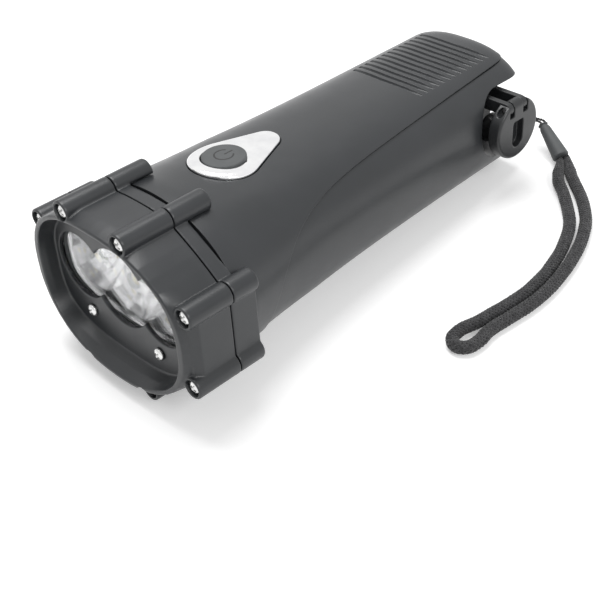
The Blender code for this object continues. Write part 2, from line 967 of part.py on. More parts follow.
def make_upper_shell():
    shell = hollow_barrel("upper_shell", 0.0)
    cut(shell, below_line("lower_part", 0.0))
    posts = [
        rod("post", "Z", (x, y, 0.0), board_top_z + gap, waist_half_height * 2, board_post_radius, 16)
        for x, y in board_post_places()
    ]
    posts += [
        rod("post", "Z", (x, y, 0.0), body_post_split_z + gap, waist_half_height * 2, body_post_radius, 16)
        for x, y in body_screw_places()
    ]
    posts = joined(posts)
    core = barrel_body("core", wall / 2, barrel_start, barrel_length - wall / 2, ring_points)
    roof_ends = keep_inside(copied(posts), core)
    cut(roof_ends, below_line("lower_part", 0.0))
    clear_inset = wall + lower_shell_inset + gap
    inside_end = barrel_length - clear_inset
    keep_inside(posts, barrel_body("inside", clear_inset, barrel_start, inside_end, inner_ring_points))
    add(shell, add(posts, roof_ends))
    seat = [over_barrel(drop_outline(gap), height) for height in (overrun, -plate_seat - gap)]
    switch_centre, roof = (0.0, switch_y, 0.0), waist_half_height * 2
    room_floor = button_skirt_z - button_travel - gap
    button_room = rod("button_room", "Z", switch_centre, room_floor, roof, button_radius + gap)
    stem_hole = rod("stem_hole", "Z", switch_centre, board_top_z, roof, button_stem_radius + gap, 16)
    cut(shell, loft("recess", seat), button_room, stem_hole, groove_cutter())
    pilots = [
        rod(
            "pilot", "Z", (x, y, 0.0), board_top_z - overrun, board_top_z + board_screw_length,
            board_screw_radius + gap, small_sides,
        )
        for x, y in board_post_places()
    ]
    pilot_top = body_screw_seat_z + body_screw_length + gap
    pilots += [
        rod(
            "pilot", "Z", (x, y, 0.0), body_post_split_z - overrun, pilot_top,
            body_screw_radius + gap, small_sides,
        )
        for x, y in body_screw_places()
    ]
    cut(shell, joined(pilots))
    return dress(shell, "black_abs")


def rear_slot(name, radius, start_x, end_x):
    """A round pocket on the crank's axis, carried straight back through the tail."""
    rear = (barrel_length + overrun, crank_z)
    outline = two_circles((crank_y, crank_z), radius, rear, radius - overrun / 1000, 14)
    return extrusion(name, "X", outline, start_x, end_x)


def make_lower_shell():
    shell = hollow_barrel("lower_shell", lower_shell_inset)
    keep_inside(shell, below_line("lower_part", seam))
    reach = barrel_half_width(flare_end)
    outside = barrel_body("outside", lower_shell_inset + gap / 2, barrel_start, barrel_length, ring_points)
    cup = rear_slot("cup", pocket_radius + cup_wall, pocket_floor_x - cup_wall, reach)
    boss_end = gearbox_screw_tip_x + wall
    for y, z in pillar_places()[:2]:
        add(cup, rod("boss", "X", (0.0, y, z), pocket_floor_x - cup_wall, boss_end, pillar_radius, 16))
    add(shell, keep_inside(cup, outside))
    posts = [
        rod("post", "Z", (x, y, 0.0), -reach, body_post_split_z, body_post_radius, 16)
        for x, y in body_screw_places()
    ]
    inside = barrel_body("inside", wall / 2, barrel_start, barrel_length - wall / 2, ring_points)
    add(shell, keep_inside(joined(posts), inside))
    eye_y = barrel_length + eye_radius
    eye_left, eye_right = eye_x - eye_thickness / 2, eye_x + eye_thickness / 2
    eye = rod("eye", "X", (0.0, eye_y, eye_z), eye_left, eye_right, eye_radius, 20)
    root_low = (eye_left, barrel_length - wall / 2, eye_z - eye_radius)
    root = block("eye_root", root_low, (eye_right, eye_y, eye_z + eye_radius))
    add(shell, add(eye, root))
    pocket = rear_slot("pocket", pocket_radius, pocket_floor_x, reach + overrun)
    bearing = rod(
        "bearing", "X", (0.0, crank_y, crank_z), 0.0, reach, hub_shaft_radius + slip
    )
    eye_hole = rod("eye_hole", "X", (0.0, eye_y, eye_z), 0.0, reach, eye_hole_radius, small_sides)
    cut(shell, pocket, bearing, eye_hole)
    screw_room = [
        turned(
            "screw_room", "Z", (x, y, 0.0),
            [
                (-reach, body_screw_head_radius + gap), (body_screw_seat_z, body_screw_head_radius + gap),
                (body_screw_seat_z, body_screw_radius + gap),
                (body_post_split_z + overrun, body_screw_radius + gap),
            ],
            16,
        )
        for x, y in body_screw_places()
    ]
    pilot_end, pilot_radius = gearbox_screw_tip_x + gap, gearbox_screw_radius + gap
    gearbox_pilots = [
        rod("pilot", "X", (0.0, y, z), 0.0, pilot_end, pilot_radius, small_sides)
        for y, z in pillar_places()[:2]
    ]
    cut(shell, joined(screw_room), joined(gearbox_pilots))
    return dress(shell, "black_abs")


def make_body_screws():
    names = ("front_left", "front_right", "rear_left", "rear_right")
    for name, (x, y) in zip(names, body_screw_places()):
        top = body_screw_seat_z - gap - body_screw_head_height
        make_screw(
            f"body_screw_{name}", "Z", (x, y, top), 1, body_screw_head_radius, body_screw_head_height,
            body_screw_radius, body_screw_length - gap, "steel",
        )


# Switch

def make_switch_plate():
    hole = circle(button_radius + gap, 2 * 15)
    hole = [(x, switch_y + y) for x, y in hole]
    edge = drop_outline(0.0)
    top = drop_outline(-plate_bevel)
    rings = [over_barrel(edge, -plate_seat), over_barrel(edge, plate_edge_rise), over_barrel(top, plate_rise)]
    body = loft("switch_plate", rings)
    cut(body, extrusion("hole", "Z", hole, 0.0, waist_half_height * 2))
    return dress(body, "chrome")


def make_button():
    """A rubber cap that sits in the plate, with a stem that reaches down to the tact switch."""
    stem_low_z = tact_top_z + tact_plunger_rise + gap
    low = button_skirt_z
    profile = [
        (stem_low_z, button_stem_radius), (low, button_stem_radius), (low, button_radius),
        (button_top_z - button_crown, button_radius), (button_top_z - button_crown / 4, button_radius * 0.86),
        (button_top_z, button_radius * 0.45),
    ]
    body = turned("power_button", "Z", (0.0, switch_y, 0.0), profile)
    return dress(body, "rubber", origin=(0.0, switch_y, button_top_z))


def make_board():
    low, high = board_top_z - board_thickness, board_top_z
    corner, far_corner = (-board_half_width, board_front_y, low), (board_half_width, board_rear_y, high)
    body = block("main_board", corner, far_corner)
    holes = [
        rod("hole", "Z", (x, y, 0.0), low - overrun, high + overrun, board_screw_radius + gap, small_sides)
        for x, y in board_post_places()
    ]
    cut(body, joined(holes))
    dress(body, "board_green")
    for number, (x, y) in enumerate(board_post_places(), start=1):
        top = low - gap - board_screw_head_height
        make_screw(
            f"board_screw_{number}", "Z", (x, y, top), 1, board_screw_head_radius, board_screw_head_height,
            board_screw_radius, board_screw_length, "steel",
        )


def make_tact_switch():
    low = board_top_z + gap
    body = block(
        "tact_switch", (-tact_half_width, switch_y - tact_half_width, low),
        (tact_half_width, switch_y + tact_half_width, tact_top_z),
    )
    well = rod(
        "well", "Z", (0.0, switch_y, 0.0), tact_top_z - button_travel - gap * 3, tact_top_z + overrun,
        tact_plunger_radius + slip, 16,
    )
    cut(body, well)
    dress(body, "magnet_grey")
    plunger = rod(
        "tact_plunger", "Z", (0.0, switch_y, 0.0), tact_top_z - gap, tact_top_z + tact_plunger_rise,
        tact_plunger_radius, 16,
    )
    dress(plunger, "white_nylon", origin=(0.0, switch_y, tact_top_z))


def make_battery():
    board_low_z = board_top_z - board_thickness - gap
    axis_z = board_low_z - battery_radius
    pitch = battery_cell_length + gap
    room_start = led_board_y + led_board_thickness
    room_end = rotor_axle[0] - coil_outer_radius - gap - can_wall
    battery_front_y = (room_start + room_end - pitch * cell_count) / 2
    for number in range(cell_count):
        start = battery_front_y + pitch * number
        end = start + battery_cell_length
        lip = battery_cell_length / 12
        profile = [
            (start, battery_radius - lip), (start + lip, battery_radius), (end - lip, battery_radius),
            (end, battery_radius - lip),
        ]
        dress(turned(f"battery_cell_{number + 1}", "Y", (0.0, 0.0, axis_z), profile), "battery_wrap")
    start = battery_front_y - gap - cradle_wall
    end = battery_front_y + pitch * cell_count + cradle_wall
    inner = battery_radius + gap
    outer = inner + cradle_wall
    cradle = add(
        rod("battery_cradle", "Y", (0.0, 0.0, axis_z), start, end, outer),
        block("sides", (-outer, start, axis_z), (outer, end, board_low_z)),
    )
    room_start, room_end = start + cradle_wall, end - cradle_wall
    room = add(
        rod("room", "Y", (0.0, 0.0, axis_z), room_start, room_end, inner),
        block("way_out", (-inner, room_start, axis_z), (inner, room_end, board_top_z + overrun)),
    )
    low, high = (-outer - gap, start - gap, board_low_z), (outer + gap, end + gap, board_top_z * 2)
    above = block("above", low, high)
    cut(cradle, room, above)
    dress(cradle, "white_nylon")


# Gear train and generator: every axis runs across the torch

def pitch_radius(teeth):
    return gear_module * teeth / 2


def axle_places():
    """(y, z) of the crank, the two idlers and the rotor, each in mesh with the next."""
    places = [(crank_y, crank_z)]
    wheels = (drive_teeth, first_wheel_teeth, second_wheel_teeth)
    pinions = (pinion_teeth, pinion_teeth, rotor_pinion_teeth)
    for wheel, pinion in zip(wheels, pinions):
        distance = pitch_radius(wheel) + pitch_radius(pinion)
        y, z = places[-1]
        run, fall = distance * math.cos(train_fall_share), distance * math.sin(train_fall_share)
        places.append((y - run, z - fall))
    return places


crank_axle, first_axle, second_axle, rotor_axle = axle_places()
gearbox_right_x = pocket_floor_x - cup_wall - gap - plate_thickness
layer_pitch = gear_width + 2 * gap
gearbox_left_x = gearbox_right_x - 3 * layer_pitch - 2 * gap


def layer_start(layer):
    """Left side of a gear layer, counted from the crank's side."""
    return gearbox_right_x - gap - layer_pitch * (layer + 1) + gap


def pillar_places():
    """(y, z) of the gearbox pillars: the first two screw into the crank pocket's wall."""
    ring = pocket_radius + pillar_radius + slip
    back, up = ring * math.sin(pillar_lean_share), ring * math.cos(pillar_lean_share)
    upper, lower = (crank_y - back, crank_z + up), (crank_y - back, crank_z - up)
    front = (rotor_axle[0] - pillar_radius * 3, rotor_axle[1] + pillar_radius * 2)
    return [upper, lower, front]


gearbox_screw_head_x = gearbox_left_x - plate_thickness - gap - gearbox_screw_head_height
gearbox_screw_tip_x = gearbox_screw_head_x + gearbox_screw_head_height + gearbox_screw_length


def gear_outline(teeth, centre, phase):
    """Teeth with straight flanks: a tooth's middle lies at phase."""
    pitch = math.tau / teeth
    middle = pitch_radius(teeth)
    root, tip = middle - 1.15 * gear_module, middle + 0.80 * gear_module
    outline = []
    for tooth in range(teeth):
        turn = phase + pitch * tooth
        for radius, share in ((root, -0.33), (tip, -0.11), (tip, 0.11), (root, 0.33)):
            angle = turn + pitch * share
            outline.append((centre[0] + radius * math.cos(angle), centre[1] + radius * math.sin(angle)))
    return outline


def gear(name, teeth, centre, phase, start):
    return extrusion(name, "X", gear_outline(teeth, centre, phase), start, start + gear_width)


def towards(here, there):
    return math.atan2(there[1] - here[1], there[0] - here[0])


def make_gears():
    drive = gear("drive_gear", drive_teeth, crank_axle, towards(crank_axle, first_axle), layer_start(0))
    bore = rod(
        "bore", "X", (0.0, crank_y, crank_z), layer_start(0) - overrun, layer_start(0) + gear_width + overrun,
        hub_shaft_radius + slip,
    )
    cut(drive, bore)
    dress(drive, "white_nylon", origin=(layer_start(0), crank_y, crank_z))
    wheels = (
        ("first_idler", first_axle, crank_axle, second_axle, first_wheel_teeth, 0),
        ("second_idler", second_axle, first_axle, rotor_axle, second_wheel_teeth, 1),
    )
    for name, centre, before, after, teeth, layer in wheels:
        turn = towards(centre, before) + math.pi / pinion_teeth
        pinion = gear(name, pinion_teeth, centre, turn, layer_start(layer) - slip)
        wheel = gear("wheel", teeth, centre, towards(centre, after), layer_start(layer + 1))
        axle = rod(
            "axle", "X", (0.0, *centre), gearbox_left_x - plate_thickness, gearbox_right_x + plate_thickness,
            axle_radius, 16,
        )
        bridge_start = layer_start(layer + 1) + gear_width / 2
        bridge_end = layer_start(layer) + gear_width / 2
        bridge_radius = pitch_radius(pinion_teeth) - 1.3 * gear_module
        bridge = rod("bridge", "X", (0.0, *centre), bridge_start, bridge_end, bridge_radius, 16)
        add(pinion, wheel, bridge, axle)
        dress(pinion, "white_nylon", origin=(layer_start(layer), *centre))


def plate_outline():
    upper, lower, front = pillar_places()
    edge = pillar_radius
    circles = [
        (crank_y, crank_z, hub_radius - cup_wall / 4), (*upper, edge), (*lower, edge), (*front, edge),
        (*rotor_axle, coil_inner_radius),
    ]
    return hull_of_circles(circles, 12)


def plate_holes(start, end):
    """Bearings for the four axles: the hub's shaft is thick on the crank's side and thin on the far side."""
    hub_hole = axle_radius if start < layer_start(0) else hub_shaft_radius
    bearings = [(crank_axle, hub_hole)]
    bearings += [(axle, axle_radius) for axle in (first_axle, second_axle, rotor_axle)]
    return [
        rod("hole", "X", (0.0, *centre), start - overrun / 2, end + overrun / 2, radius + slip, 12)
        for centre, radius in bearings
    ]


def screw_holes(start, end):
    radius = gearbox_screw_radius + gap
    return [
        rod("hole", "X", (0.0, y, z), start - overrun / 2, end + overrun / 2, radius, small_sides)
        for y, z in pillar_places()
    ]


def make_gearbox():
    left, right = gearbox_left_x - plate_thickness, gearbox_left_x
    plate = extrusion("gearbox_plate", "X", plate_outline(), left, right)
    pillar_start, pillar_end = right - plate_thickness / 2, gearbox_right_x - gap
    for y, z in pillar_places():
        add(plate, rod("pillar", "X", (0.0, y, z), pillar_start, pillar_end, pillar_radius, 16))
    cut(plate, joined(plate_holes(left, right)), joined(screw_holes(left, gearbox_right_x)))
    dress(plate, "steel")
    left, right = gearbox_right_x, gearbox_right_x + plate_thickness
    cover = extrusion("gearbox_cover", "X", plate_outline(), left, right)
    cut(cover, joined(plate_holes(left, right) + screw_holes(left, right)))
    dress(cover, "steel")
    for number, (y, z) in enumerate(pillar_places(), start=1):
        make_screw(
            f"gearbox_screw_{number}", "X", (gearbox_screw_head_x, y, z), 1, gearbox_screw_head_radius,
            gearbox_screw_head_height, gearbox_screw_radius, gearbox_screw_length, "steel",
        )


def make_generator():
    can_right = gearbox_left_x - plate_thickness - gap
    can_left = can_right - can_length
    outer = coil_outer_radius + gap + can_wall
    centre = (0.0, *rotor_axle)
    can = rod("generator_can", "X", centre, can_left, can_right, outer, 28)
    room = rod("room", "X", centre, can_left + can_wall, can_right + overrun, outer - can_wall, 28)
    cut(can, room, rod("bearing", "X", centre, can_left - overrun, can_right, axle_radius + slip, 16))
    dress(can, "steel")
    coil_left = can_left + can_wall + gap
    coil = tube_ring(
        "generator_coil", "X", centre, coil_left, coil_left + coil_length,
        coil_inner_radius, coil_outer_radius, 28,
    )
    dress(coil, "copper")
    magnet_left = coil_left + gap
    magnet_right = magnet_left + magnet_length
    magnet = tube_ring(
        "rotor_magnet", "X", centre, magnet_left, magnet_right, axle_radius + slip, magnet_radius
    )
    dress(magnet, "magnet_grey", origin=(magnet_left, *rotor_axle))
    phase = towards(rotor_axle, second_axle) + math.pi / rotor_pinion_teeth
    shaft = gear("rotor_shaft", rotor_pinion_teeth, rotor_axle, phase, layer_start(2))
    add(shaft, rod("shaft", "X", centre, can_left, gearbox_right_x + plate_thickness, axle_radius, 16))
    dress(shaft, "steel", origin=(layer_start(2), *rotor_axle))


# Crank, folded flat in its pocket

crank_centre = (0.0, crank_y, crank_z)
fold_x = arm_inner_x + arm_thickness / 2
fold_z = crank_z + fold_offset
knob_z = crank_z + knob_offset
ear_half_span = knuckle_half_width + slip + ear_thickness
hub_x = pocket_floor_x + gap
fold_centre = (fold_x, 0.0, fold_z)


def pin_hole(reach):
    """The fold pin's hole, this far to each side of the crank."""
    return rod("pin_hole", "Y", fold_centre, crank_y - reach, crank_y + reach, fold_pin_radius + slip, 16)


def make_hub():
    face = hub_x + hub_thickness
    left = gearbox_left_x - plate_thickness - gap - retainer_thickness - gap
    edge = arm_edge
    profile = [
        (left, axle_radius), (layer_start(0), axle_radius), (layer_start(0), hub_shaft_radius),
        (hub_x, hub_shaft_radius), (hub_x, hub_radius), (face - edge, hub_radius), (face, hub_radius - edge),
    ]
    hub = turned("crank_hub", "X", crank_centre, profile, 24)
    for side in (-1, 1):
        near = crank_y + side * (knuckle_half_width + slip)
        far = crank_y + side * ear_half_span
        low_y, high_y = min(near, far), max(near, far)
        stem_low = (face - hub_thickness / 2, low_y, fold_z - knuckle_radius)
        stem = block("stem", stem_low, (fold_x, high_y, fold_z + knuckle_radius))
        eye = rod("ear", "Y", fold_centre, low_y, high_y, knuckle_radius, 20)
        add(hub, add(stem, eye))
    cut(hub, pin_hole(hub_radius))
    dress(hub, "black_abs", origin=(face, crank_y, crank_z))
    pin_start, pin_end = crank_y - ear_half_span, crank_y + ear_half_span
    pin = rod("crank_fold_pin", "Y", fold_centre, pin_start, pin_end, fold_pin_radius, 16)
    dress(pin, "steel", origin=(fold_x, crank_y, fold_z))
    retainer_left = left + gap
    retainer = tube_ring(
        "hub_retainer", "X", crank_centre, retainer_left, retainer_left + retainer_thickness,
        axle_radius + slip, retainer_radius, 20,
    )
    dress(retainer, "steel", origin=(retainer_left, crank_y, crank_z))


def make_arm():
    """The round arm: hinged at its top between the hub's ears, with the knob's pin on its inner side."""
    outer_x = arm_inner_x + arm_thickness
    profile = [
        (arm_inner_x, arm_radius - arm_edge / 2), (arm_inner_x + arm_edge / 2, arm_radius),
        (outer_x - arm_edge, arm_radius), (outer_x - arm_edge / 3, arm_radius - arm_edge / 3),
        (outer_x, arm_radius - arm_edge),
    ]
    arm = turned("crank_arm", "X", crank_centre, profile, 36)
    gate_half = ear_half_span + slip
    gate_low = fold_z - knuckle_radius - gap * 1.5
    gate = block(
        "gate", (arm_inner_x - overrun, crank_y - gate_half, gate_low),
        (outer_x + overrun, crank_y + gate_half, crank_z + arm_radius + overrun),
    )
    slot_low = (crank_y, crank_z + thumb_slot_low_z + thumb_slot_half_width)
    slot_high = (crank_y, crank_z + thumb_slot_high_z - thumb_slot_half_width)
    slot_outline = two_circles(slot_low, thumb_slot_half_width, slot_high, thumb_slot_half_width * 0.999, 7)
    slot = extrusion("thumb_slot", "X", slot_outline, outer_x - thumb_slot_depth, outer_x + overrun)
    cut(arm, gate, slot)
    tongue = block(
        "tongue", (arm_inner_x, crank_y - knuckle_half_width, gate_low - overrun / 2),
        (outer_x, crank_y + knuckle_half_width, fold_z),
    )
    knuckle = rod(
        "knuckle", "Y", (fold_x, 0.0, fold_z), crank_y - knuckle_half_width, crank_y + knuckle_half_width,
        knuckle_radius + slip, 20,
    )
    add(arm, tongue, knuckle)
    pin_end = arm_inner_x - gap - knob_length - gap
    pin = rod("knob_pin", "X", (0.0, crank_y, knob_z), pin_end, arm_inner_x + arm_edge, knob_pin_radius, 16)
    add(arm, pin)
    screw_hole = rod(
        "screw_hole", "X", (0.0, crank_y, knob_z), pin_end - overrun, pin_end + knob_screw_length,
        knob_screw_radius + slip, small_sides,
    )
    cut(arm, pin_hole(arm_radius), screw_hole)
    dress(arm, "black_abs", origin=(fold_x, crank_y, fold_z))
    knob_start = arm_inner_x - gap - knob_length
    knob_end = arm_inner_x - gap
    lip = knob_waist
    middle = (knob_start + knob_end) / 2
    bore = knob_pin_radius + slip
    corners = [
        (knob_start, bore), (knob_end, bore), (knob_end, knob_radius - lip), (knob_end - lip, knob_radius),
        (middle, knob_radius - lip), (knob_start + lip, knob_radius), (knob_start, knob_radius - lip),
    ]
    centre = Vector((0.0, crank_y, knob_z))
    rings = [
        [centre + on_axis("X", along, *point) for point in circle(radius, round_sides)]
        for along, radius in corners
    ]
    dress(ring_body("crank_knob", rings), "black_abs", origin=(middle, crank_y, knob_z))
    screw_top = pin_end - gap - knob_screw_head_height
    make_screw(
        "knob_screw", "X", (screw_top, crank_y, knob_z), 1, knob_screw_head_radius, knob_screw_head_height,
        knob_screw_radius, knob_screw_length - gap, "steel",
    )


# Clears the scene and builds the torch

for leftover in list(bpy.data.objects):
    bpy.data.objects.remove(leftover, do_unlink=True)

torch = bpy.data.objects.new("torch", None)
bpy.context.scene.collection.objects.link(torch)

make_bezel()
make_collar()
make_bezel_screws()
make_reflector()
make_lens_and_gasket()
make_reflector_screws()
make_leds()
make_upper_shell()
make_lower_shell()
make_body_screws()
make_switch_plate()
make_button()
make_board()
make_tact_switch()
make_battery()
make_gears()
make_gearbox()
make_generator()
make_hub()
make_arm()


def lie_on_table():
    """Tips the torch onto its lower head bosses and its tail, with Z = 0 at the table."""
    head_low = -(corner_top_z + boss_radius)
    tail_y = barrel_length - tail_round_length
    tail_low = barrel_centre_z(tail_y) - barrel_half_height(tail_y) + lower_shell_inset
    pitch = math.atan2(tail_low - head_low, tail_y - top_finger_end)
    torch.rotation_euler = (-pitch, 0.0, 0.0)
    bpy.context.view_layer.update()
    corners = [
        piece.matrix_world @ vertex.co for piece in torch.children for vertex in piece.data.vertices
    ]
    low_y = min(corner.y for corner in corners)
    high_y = max(corner.y for corner in corners)
    torch.location = (0.0, -(low_y + high_y) / 2, -min(corner.z for corner in corners))
    bpy.context.view_layer.update()


# Wrist strap, in table coordinates

def curve_point(before, start, end, after, share):
    """A point on the smooth curve through these four, between start and end."""
    return 0.5 * (
        2 * start + (end - before) * share + (2 * before - 5 * start + 4 * end - after) * share**2
        + (3 * start - before - 3 * end + after) * share**3
    )


def smooth_route(points, pitch):
    """Points at an even pitch along one smooth curve through the given points."""
    points = [Vector(point) for point in points]
    ends = [2 * points[0] - points[1]] + points + [2 * points[-1] - points[-2]]
    fine = []
    steps = 24
    for index in range(len(points) - 1):
        fine += [curve_point(*ends[index:index + 4], step / steps) for step in range(steps)]
    fine.append(points[-1])
    travelled = [0.0]
    for start, end in zip(fine, fine[1:]):
        travelled.append(travelled[-1] + (end - start).length)
    count = round(travelled[-1] / pitch)
    route = []
    index = 0
    for number in range(count + 1):
        wanted = travelled[-1] * number / count
        while index < len(fine) - 2 and travelled[index + 1] < wanted:
            index += 1
        share = (wanted - travelled[index]) / (travelled[index + 1] - travelled[index])
        route.append(fine[index].lerp(fine[index + 1], min(share, 1.0)))
    return route


def cord(name, route, diameter, thickness_at=None):
    """A tube along a route. thickness_at gives the share of the diameter at each point."""
    curve = bpy.data.curves.new(name, "CURVE")
    curve.dimensions = "3D"
    curve.bevel_depth = diameter / 2
    curve.bevel_resolution = 2
    curve.use_fill_caps = True
    spline = curve.splines.new("POLY")
    spline.points.add(len(route) - 1)
    for index, point in enumerate(route):
        spline.points[index].co = (*point, 1.0)
        spline.points[index].radius = thickness_at[index] if thickness_at else 1.0
    curve.materials.append(finish("cord_black"))
    obj = bpy.data.objects.new(name, curve)
    bpy.context.scene.collection.objects.link(obj)
    return obj


def make_ferrule():
    front, rear = Vector(ferrule_front), Vector(ferrule_rear)
    length = (rear - front).length
    profile = [
        (0.0, ferrule_front_radius * 0.8), (length * 0.05, ferrule_front_radius),
        (length * 0.95, ferrule_rear_radius), (length, ferrule_rear_radius * 0.94),
    ]
    body = turned("strap_ferrule", "Z", (0.0, 0.0, 0.0), profile)
    dress(body, "rubber")
    body.parent = None
    body.location = front
    body.rotation_euler = (rear - front).to_track_quat("Z", "Y").to_euler()


def make_string():
    """A thin loop, from the ferrule through the eye, round behind it, and back to the ferrule."""
    eye_y = barrel_length + eye_radius
    clear = string_diameter / 2 + 2 * gap
    right, left = eye_x + eye_thickness / 2 + clear, eye_x - eye_thickness / 2 - clear
    behind = eye_y + eye_radius + clear
    round_eye = [
        torch.matrix_world @ Vector(point)
        for point in (
            (right, eye_y, eye_z), (eye_x, eye_y, eye_z), (left, eye_y + clear, eye_z),
            (left, behind - clear, eye_z), (eye_x, behind + slip, eye_z), (right + clear, behind, eye_z),
        )
    ]
    front = Vector(ferrule_front)
    away = (front - Vector(ferrule_rear)).normalized()
    end = front + away * gap
    across = away.cross(Vector((0.0, 0.0, 1.0))).normalized() * string_spacing / 2
    halfway = round_eye[0].lerp(end, 0.5) - Vector((0.0, 0.0, string_sag))
    route = [end - across, end - across + away * string_spacing, halfway - across]
    route += round_eye
    route += [halfway + across, end + across + away * string_spacing, end + across]
    cord("lanyard_string", smooth_route(route, string_point_pitch), string_diameter)


def make_strap():
    """A loop of soft cord on the table, squeezed where its two ends enter the ferrule."""
    rear = Vector(ferrule_rear)
    along = (rear - Vector(ferrule_front)).normalized()
    start = rear + along * 2 * gap
    across = along.cross(Vector((0.0, 0.0, 1.0))).normalized() * strap_spacing / 2
    height = strap_diameter / 2 + gap
    route = [start - across, start - across + along * strap_spacing / 2]
    route += [Vector((x, y, height)) for x, y in strap_route]
    route += [start + across + along * strap_spacing / 2, start + across]
    route = smooth_route(route, strap_point_pitch)
    shares = []
    for point in route:
        along_share = min((point - start).length / strap_squeeze_length, 1.0)
        shares.append(strap_squeeze_share + (1 - strap_squeeze_share) * along_share)
    cord("strap_loop", route, strap_diameter, shares)
    lengths = [(after - before).length for before, after in zip(route, route[1:])]
    apart = min(
        (one - other).length
        for index, one in enumerate(route)
        for other in route[index + 6:]
        if min((one - start).length, (other - start).length) > strap_squeeze_length
    )
    spare = apart - strap_diameter
    print(f"strap: {sum(lengths) * 1000:.1f} mm of cord, least gap to itself {spare * 1000:.2f} mm")


lie_on_table()
make_ferrule()
make_string()
make_strap()
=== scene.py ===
"""Looks of the hand crank flashlight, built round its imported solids.

Rigid pieces are modelled again in the torch's own axes (X to its right, Y from the front rim to the tail, Z up)
with fine curves and rounded edges, and are then laid on the table as the solids are. The strap and its string are
braided from real strands. Lengths are in metres, angles in radians.
"""

import math

import bpy
from mathutils import Matrix, Vector


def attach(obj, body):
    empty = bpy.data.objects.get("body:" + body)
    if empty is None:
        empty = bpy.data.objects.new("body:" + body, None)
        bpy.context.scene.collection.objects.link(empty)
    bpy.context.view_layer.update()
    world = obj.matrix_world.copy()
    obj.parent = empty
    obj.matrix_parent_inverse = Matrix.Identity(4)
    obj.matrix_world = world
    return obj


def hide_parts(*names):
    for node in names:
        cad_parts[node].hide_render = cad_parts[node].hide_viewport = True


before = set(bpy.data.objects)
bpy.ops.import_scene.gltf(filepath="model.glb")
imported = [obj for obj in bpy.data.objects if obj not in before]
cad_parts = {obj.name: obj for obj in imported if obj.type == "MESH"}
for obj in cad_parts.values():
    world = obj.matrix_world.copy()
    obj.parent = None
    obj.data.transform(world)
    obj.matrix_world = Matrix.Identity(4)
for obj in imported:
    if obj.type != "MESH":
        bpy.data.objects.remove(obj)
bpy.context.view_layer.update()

# Where the torch lies on the table
torch_place = (0.0, -0.0783681, 0.0303556)
torch_pitch = -0.08692
to_table = Matrix.Translation(torch_place) @ Matrix.Rotation(torch_pitch, 4, "X")

# Camera
camera_place = (0.216859, -0.188790, 0.222576)
camera_turn = (0.864270, 0.116341, 0.782703)
camera_lens = 68.67
sensor_width = 36.0

# Fits
gap = 0.0003
slip = 0.0002
overrun = 0.004

# Head
corner_top_x = 0.0120
corner_top_z = 0.0246
corner_side_x = 0.0329
corner_side_z = 0.0113
facet_bulge = 0.0008
boss_radius = 0.0033
bezel_length = 0.0165
moulding_voxel = 0.00024
moulding_rounds = 5
moulding_share = 0.35
rim_half_width = 0.0322
rim_half_height = 0.0242
rim_squareness = 2.3
rim_taper_length = 0.0055
rim_bow = 0.0015
rim_lip = 0.0005
low_boss_start = 0.0028
left_boss_start = 0.0048
side_panel_x = 0.0344
side_panel_start = 0.0034
side_panel_bevel = 0.0012
top_boss_start = 0.0003
side_boss_start = 0.0021
mouth_half_width = 0.0285
mouth_half_height = 0.0194
mouth_squareness = 3.0
mouth_front_half_width = 0.0300
mouth_front_half_height = 0.0229
mouth_front_squareness = 2.4
ledge_depth = 0.0063
ledge_thickness = 0.0014
cavity_half_width = 0.0286
cavity_half_height = 0.0204

# Reflector, lens and LEDs
cell_pitch = 0.0170
cell_height = 0.0024
middle_cell_radius = 0.0116
outer_cell_radius = 0.0098
window_margin = 0.0003
flange_thickness = 0.0036
flange_half_width = 0.0278
flange_half_height = 0.0172
reflector_wall = 0.0008
cup_depth = 0.0111
led_hole_radius = 0.0031
gasket_thickness = 0.0006
lens_thickness = 0.0012
lens_half_width = 0.0270
lens_half_height = 0.0130
led_radius = 0.0025
led_length = 0.0086
led_collar_radius = 0.0028
led_collar_thickness = 0.0010
chip_half_width = 0.0007

# Screws
bezel_screw_head_radius = 0.0022
bezel_screw_head_height = 0.0014
bezel_screw_radius = 0.0011
bezel_screw_length = 0.0190
bezel_screw_depth = 0.0003
reflector_screw_x = 0.0149
reflector_screw_z = -0.0120
reflector_screw_head_radius = 0.0019
reflector_screw_head_height = 0.0010
reflector_screw_radius = 0.0009
reflector_screw_length = 0.0045
body_screw_places = ((-0.0160, 0.0800), (0.0160, 0.0800), (-0.0122, 0.1215), (0.0122, 0.1215))
body_screw_head_radius = 0.0021
body_screw_head_height = 0.0013
body_screw_radius = 0.0010
body_screw_length = 0.0120
body_screw_seat_z = -0.0100

# Barrel
barrel_length = 0.1538
waist_half_width = 0.0265
waist_half_height = 0.0205
flare_start = 0.0320
head_flare_width = 0.0047
head_flare_height = 0.0042
flare_width_reach = 0.0250
flare_height_reach = 0.0450
flare_end = 0.0260
tail_rise = 0.0029
front_squareness = 2.1
tail_squareness = 2.5
squareness_reach = 0.0300
wall = 0.0022
spigot_step = 0.0020
spigot_wall = 0.0017
tail_round_length = 0.0055
tail_round_depth = 0.0017

# Collar
collar_length = 0.0047
collar_bore_gap = 0.0003
collar_chamfer = 0.0012
top_finger_end = 0.0295
side_finger_end = 0.0254

# Line between the shells
seam = 0.0004
lower_shell_inset = 0.0005
line_level = 0.0132
line_slope = 0.0500
line_drop = 0.0161
line_drop_y = 0.0380
line_drop_reach = 0.0090

# Grip grooves
groove_count = 13
first_groove_y = 0.1125
groove_pitch = 0.0027
groove_half_length = 0.0140
groove_width = 0.0013
groove_depth = 0.0007
groove_bow = 0.0022

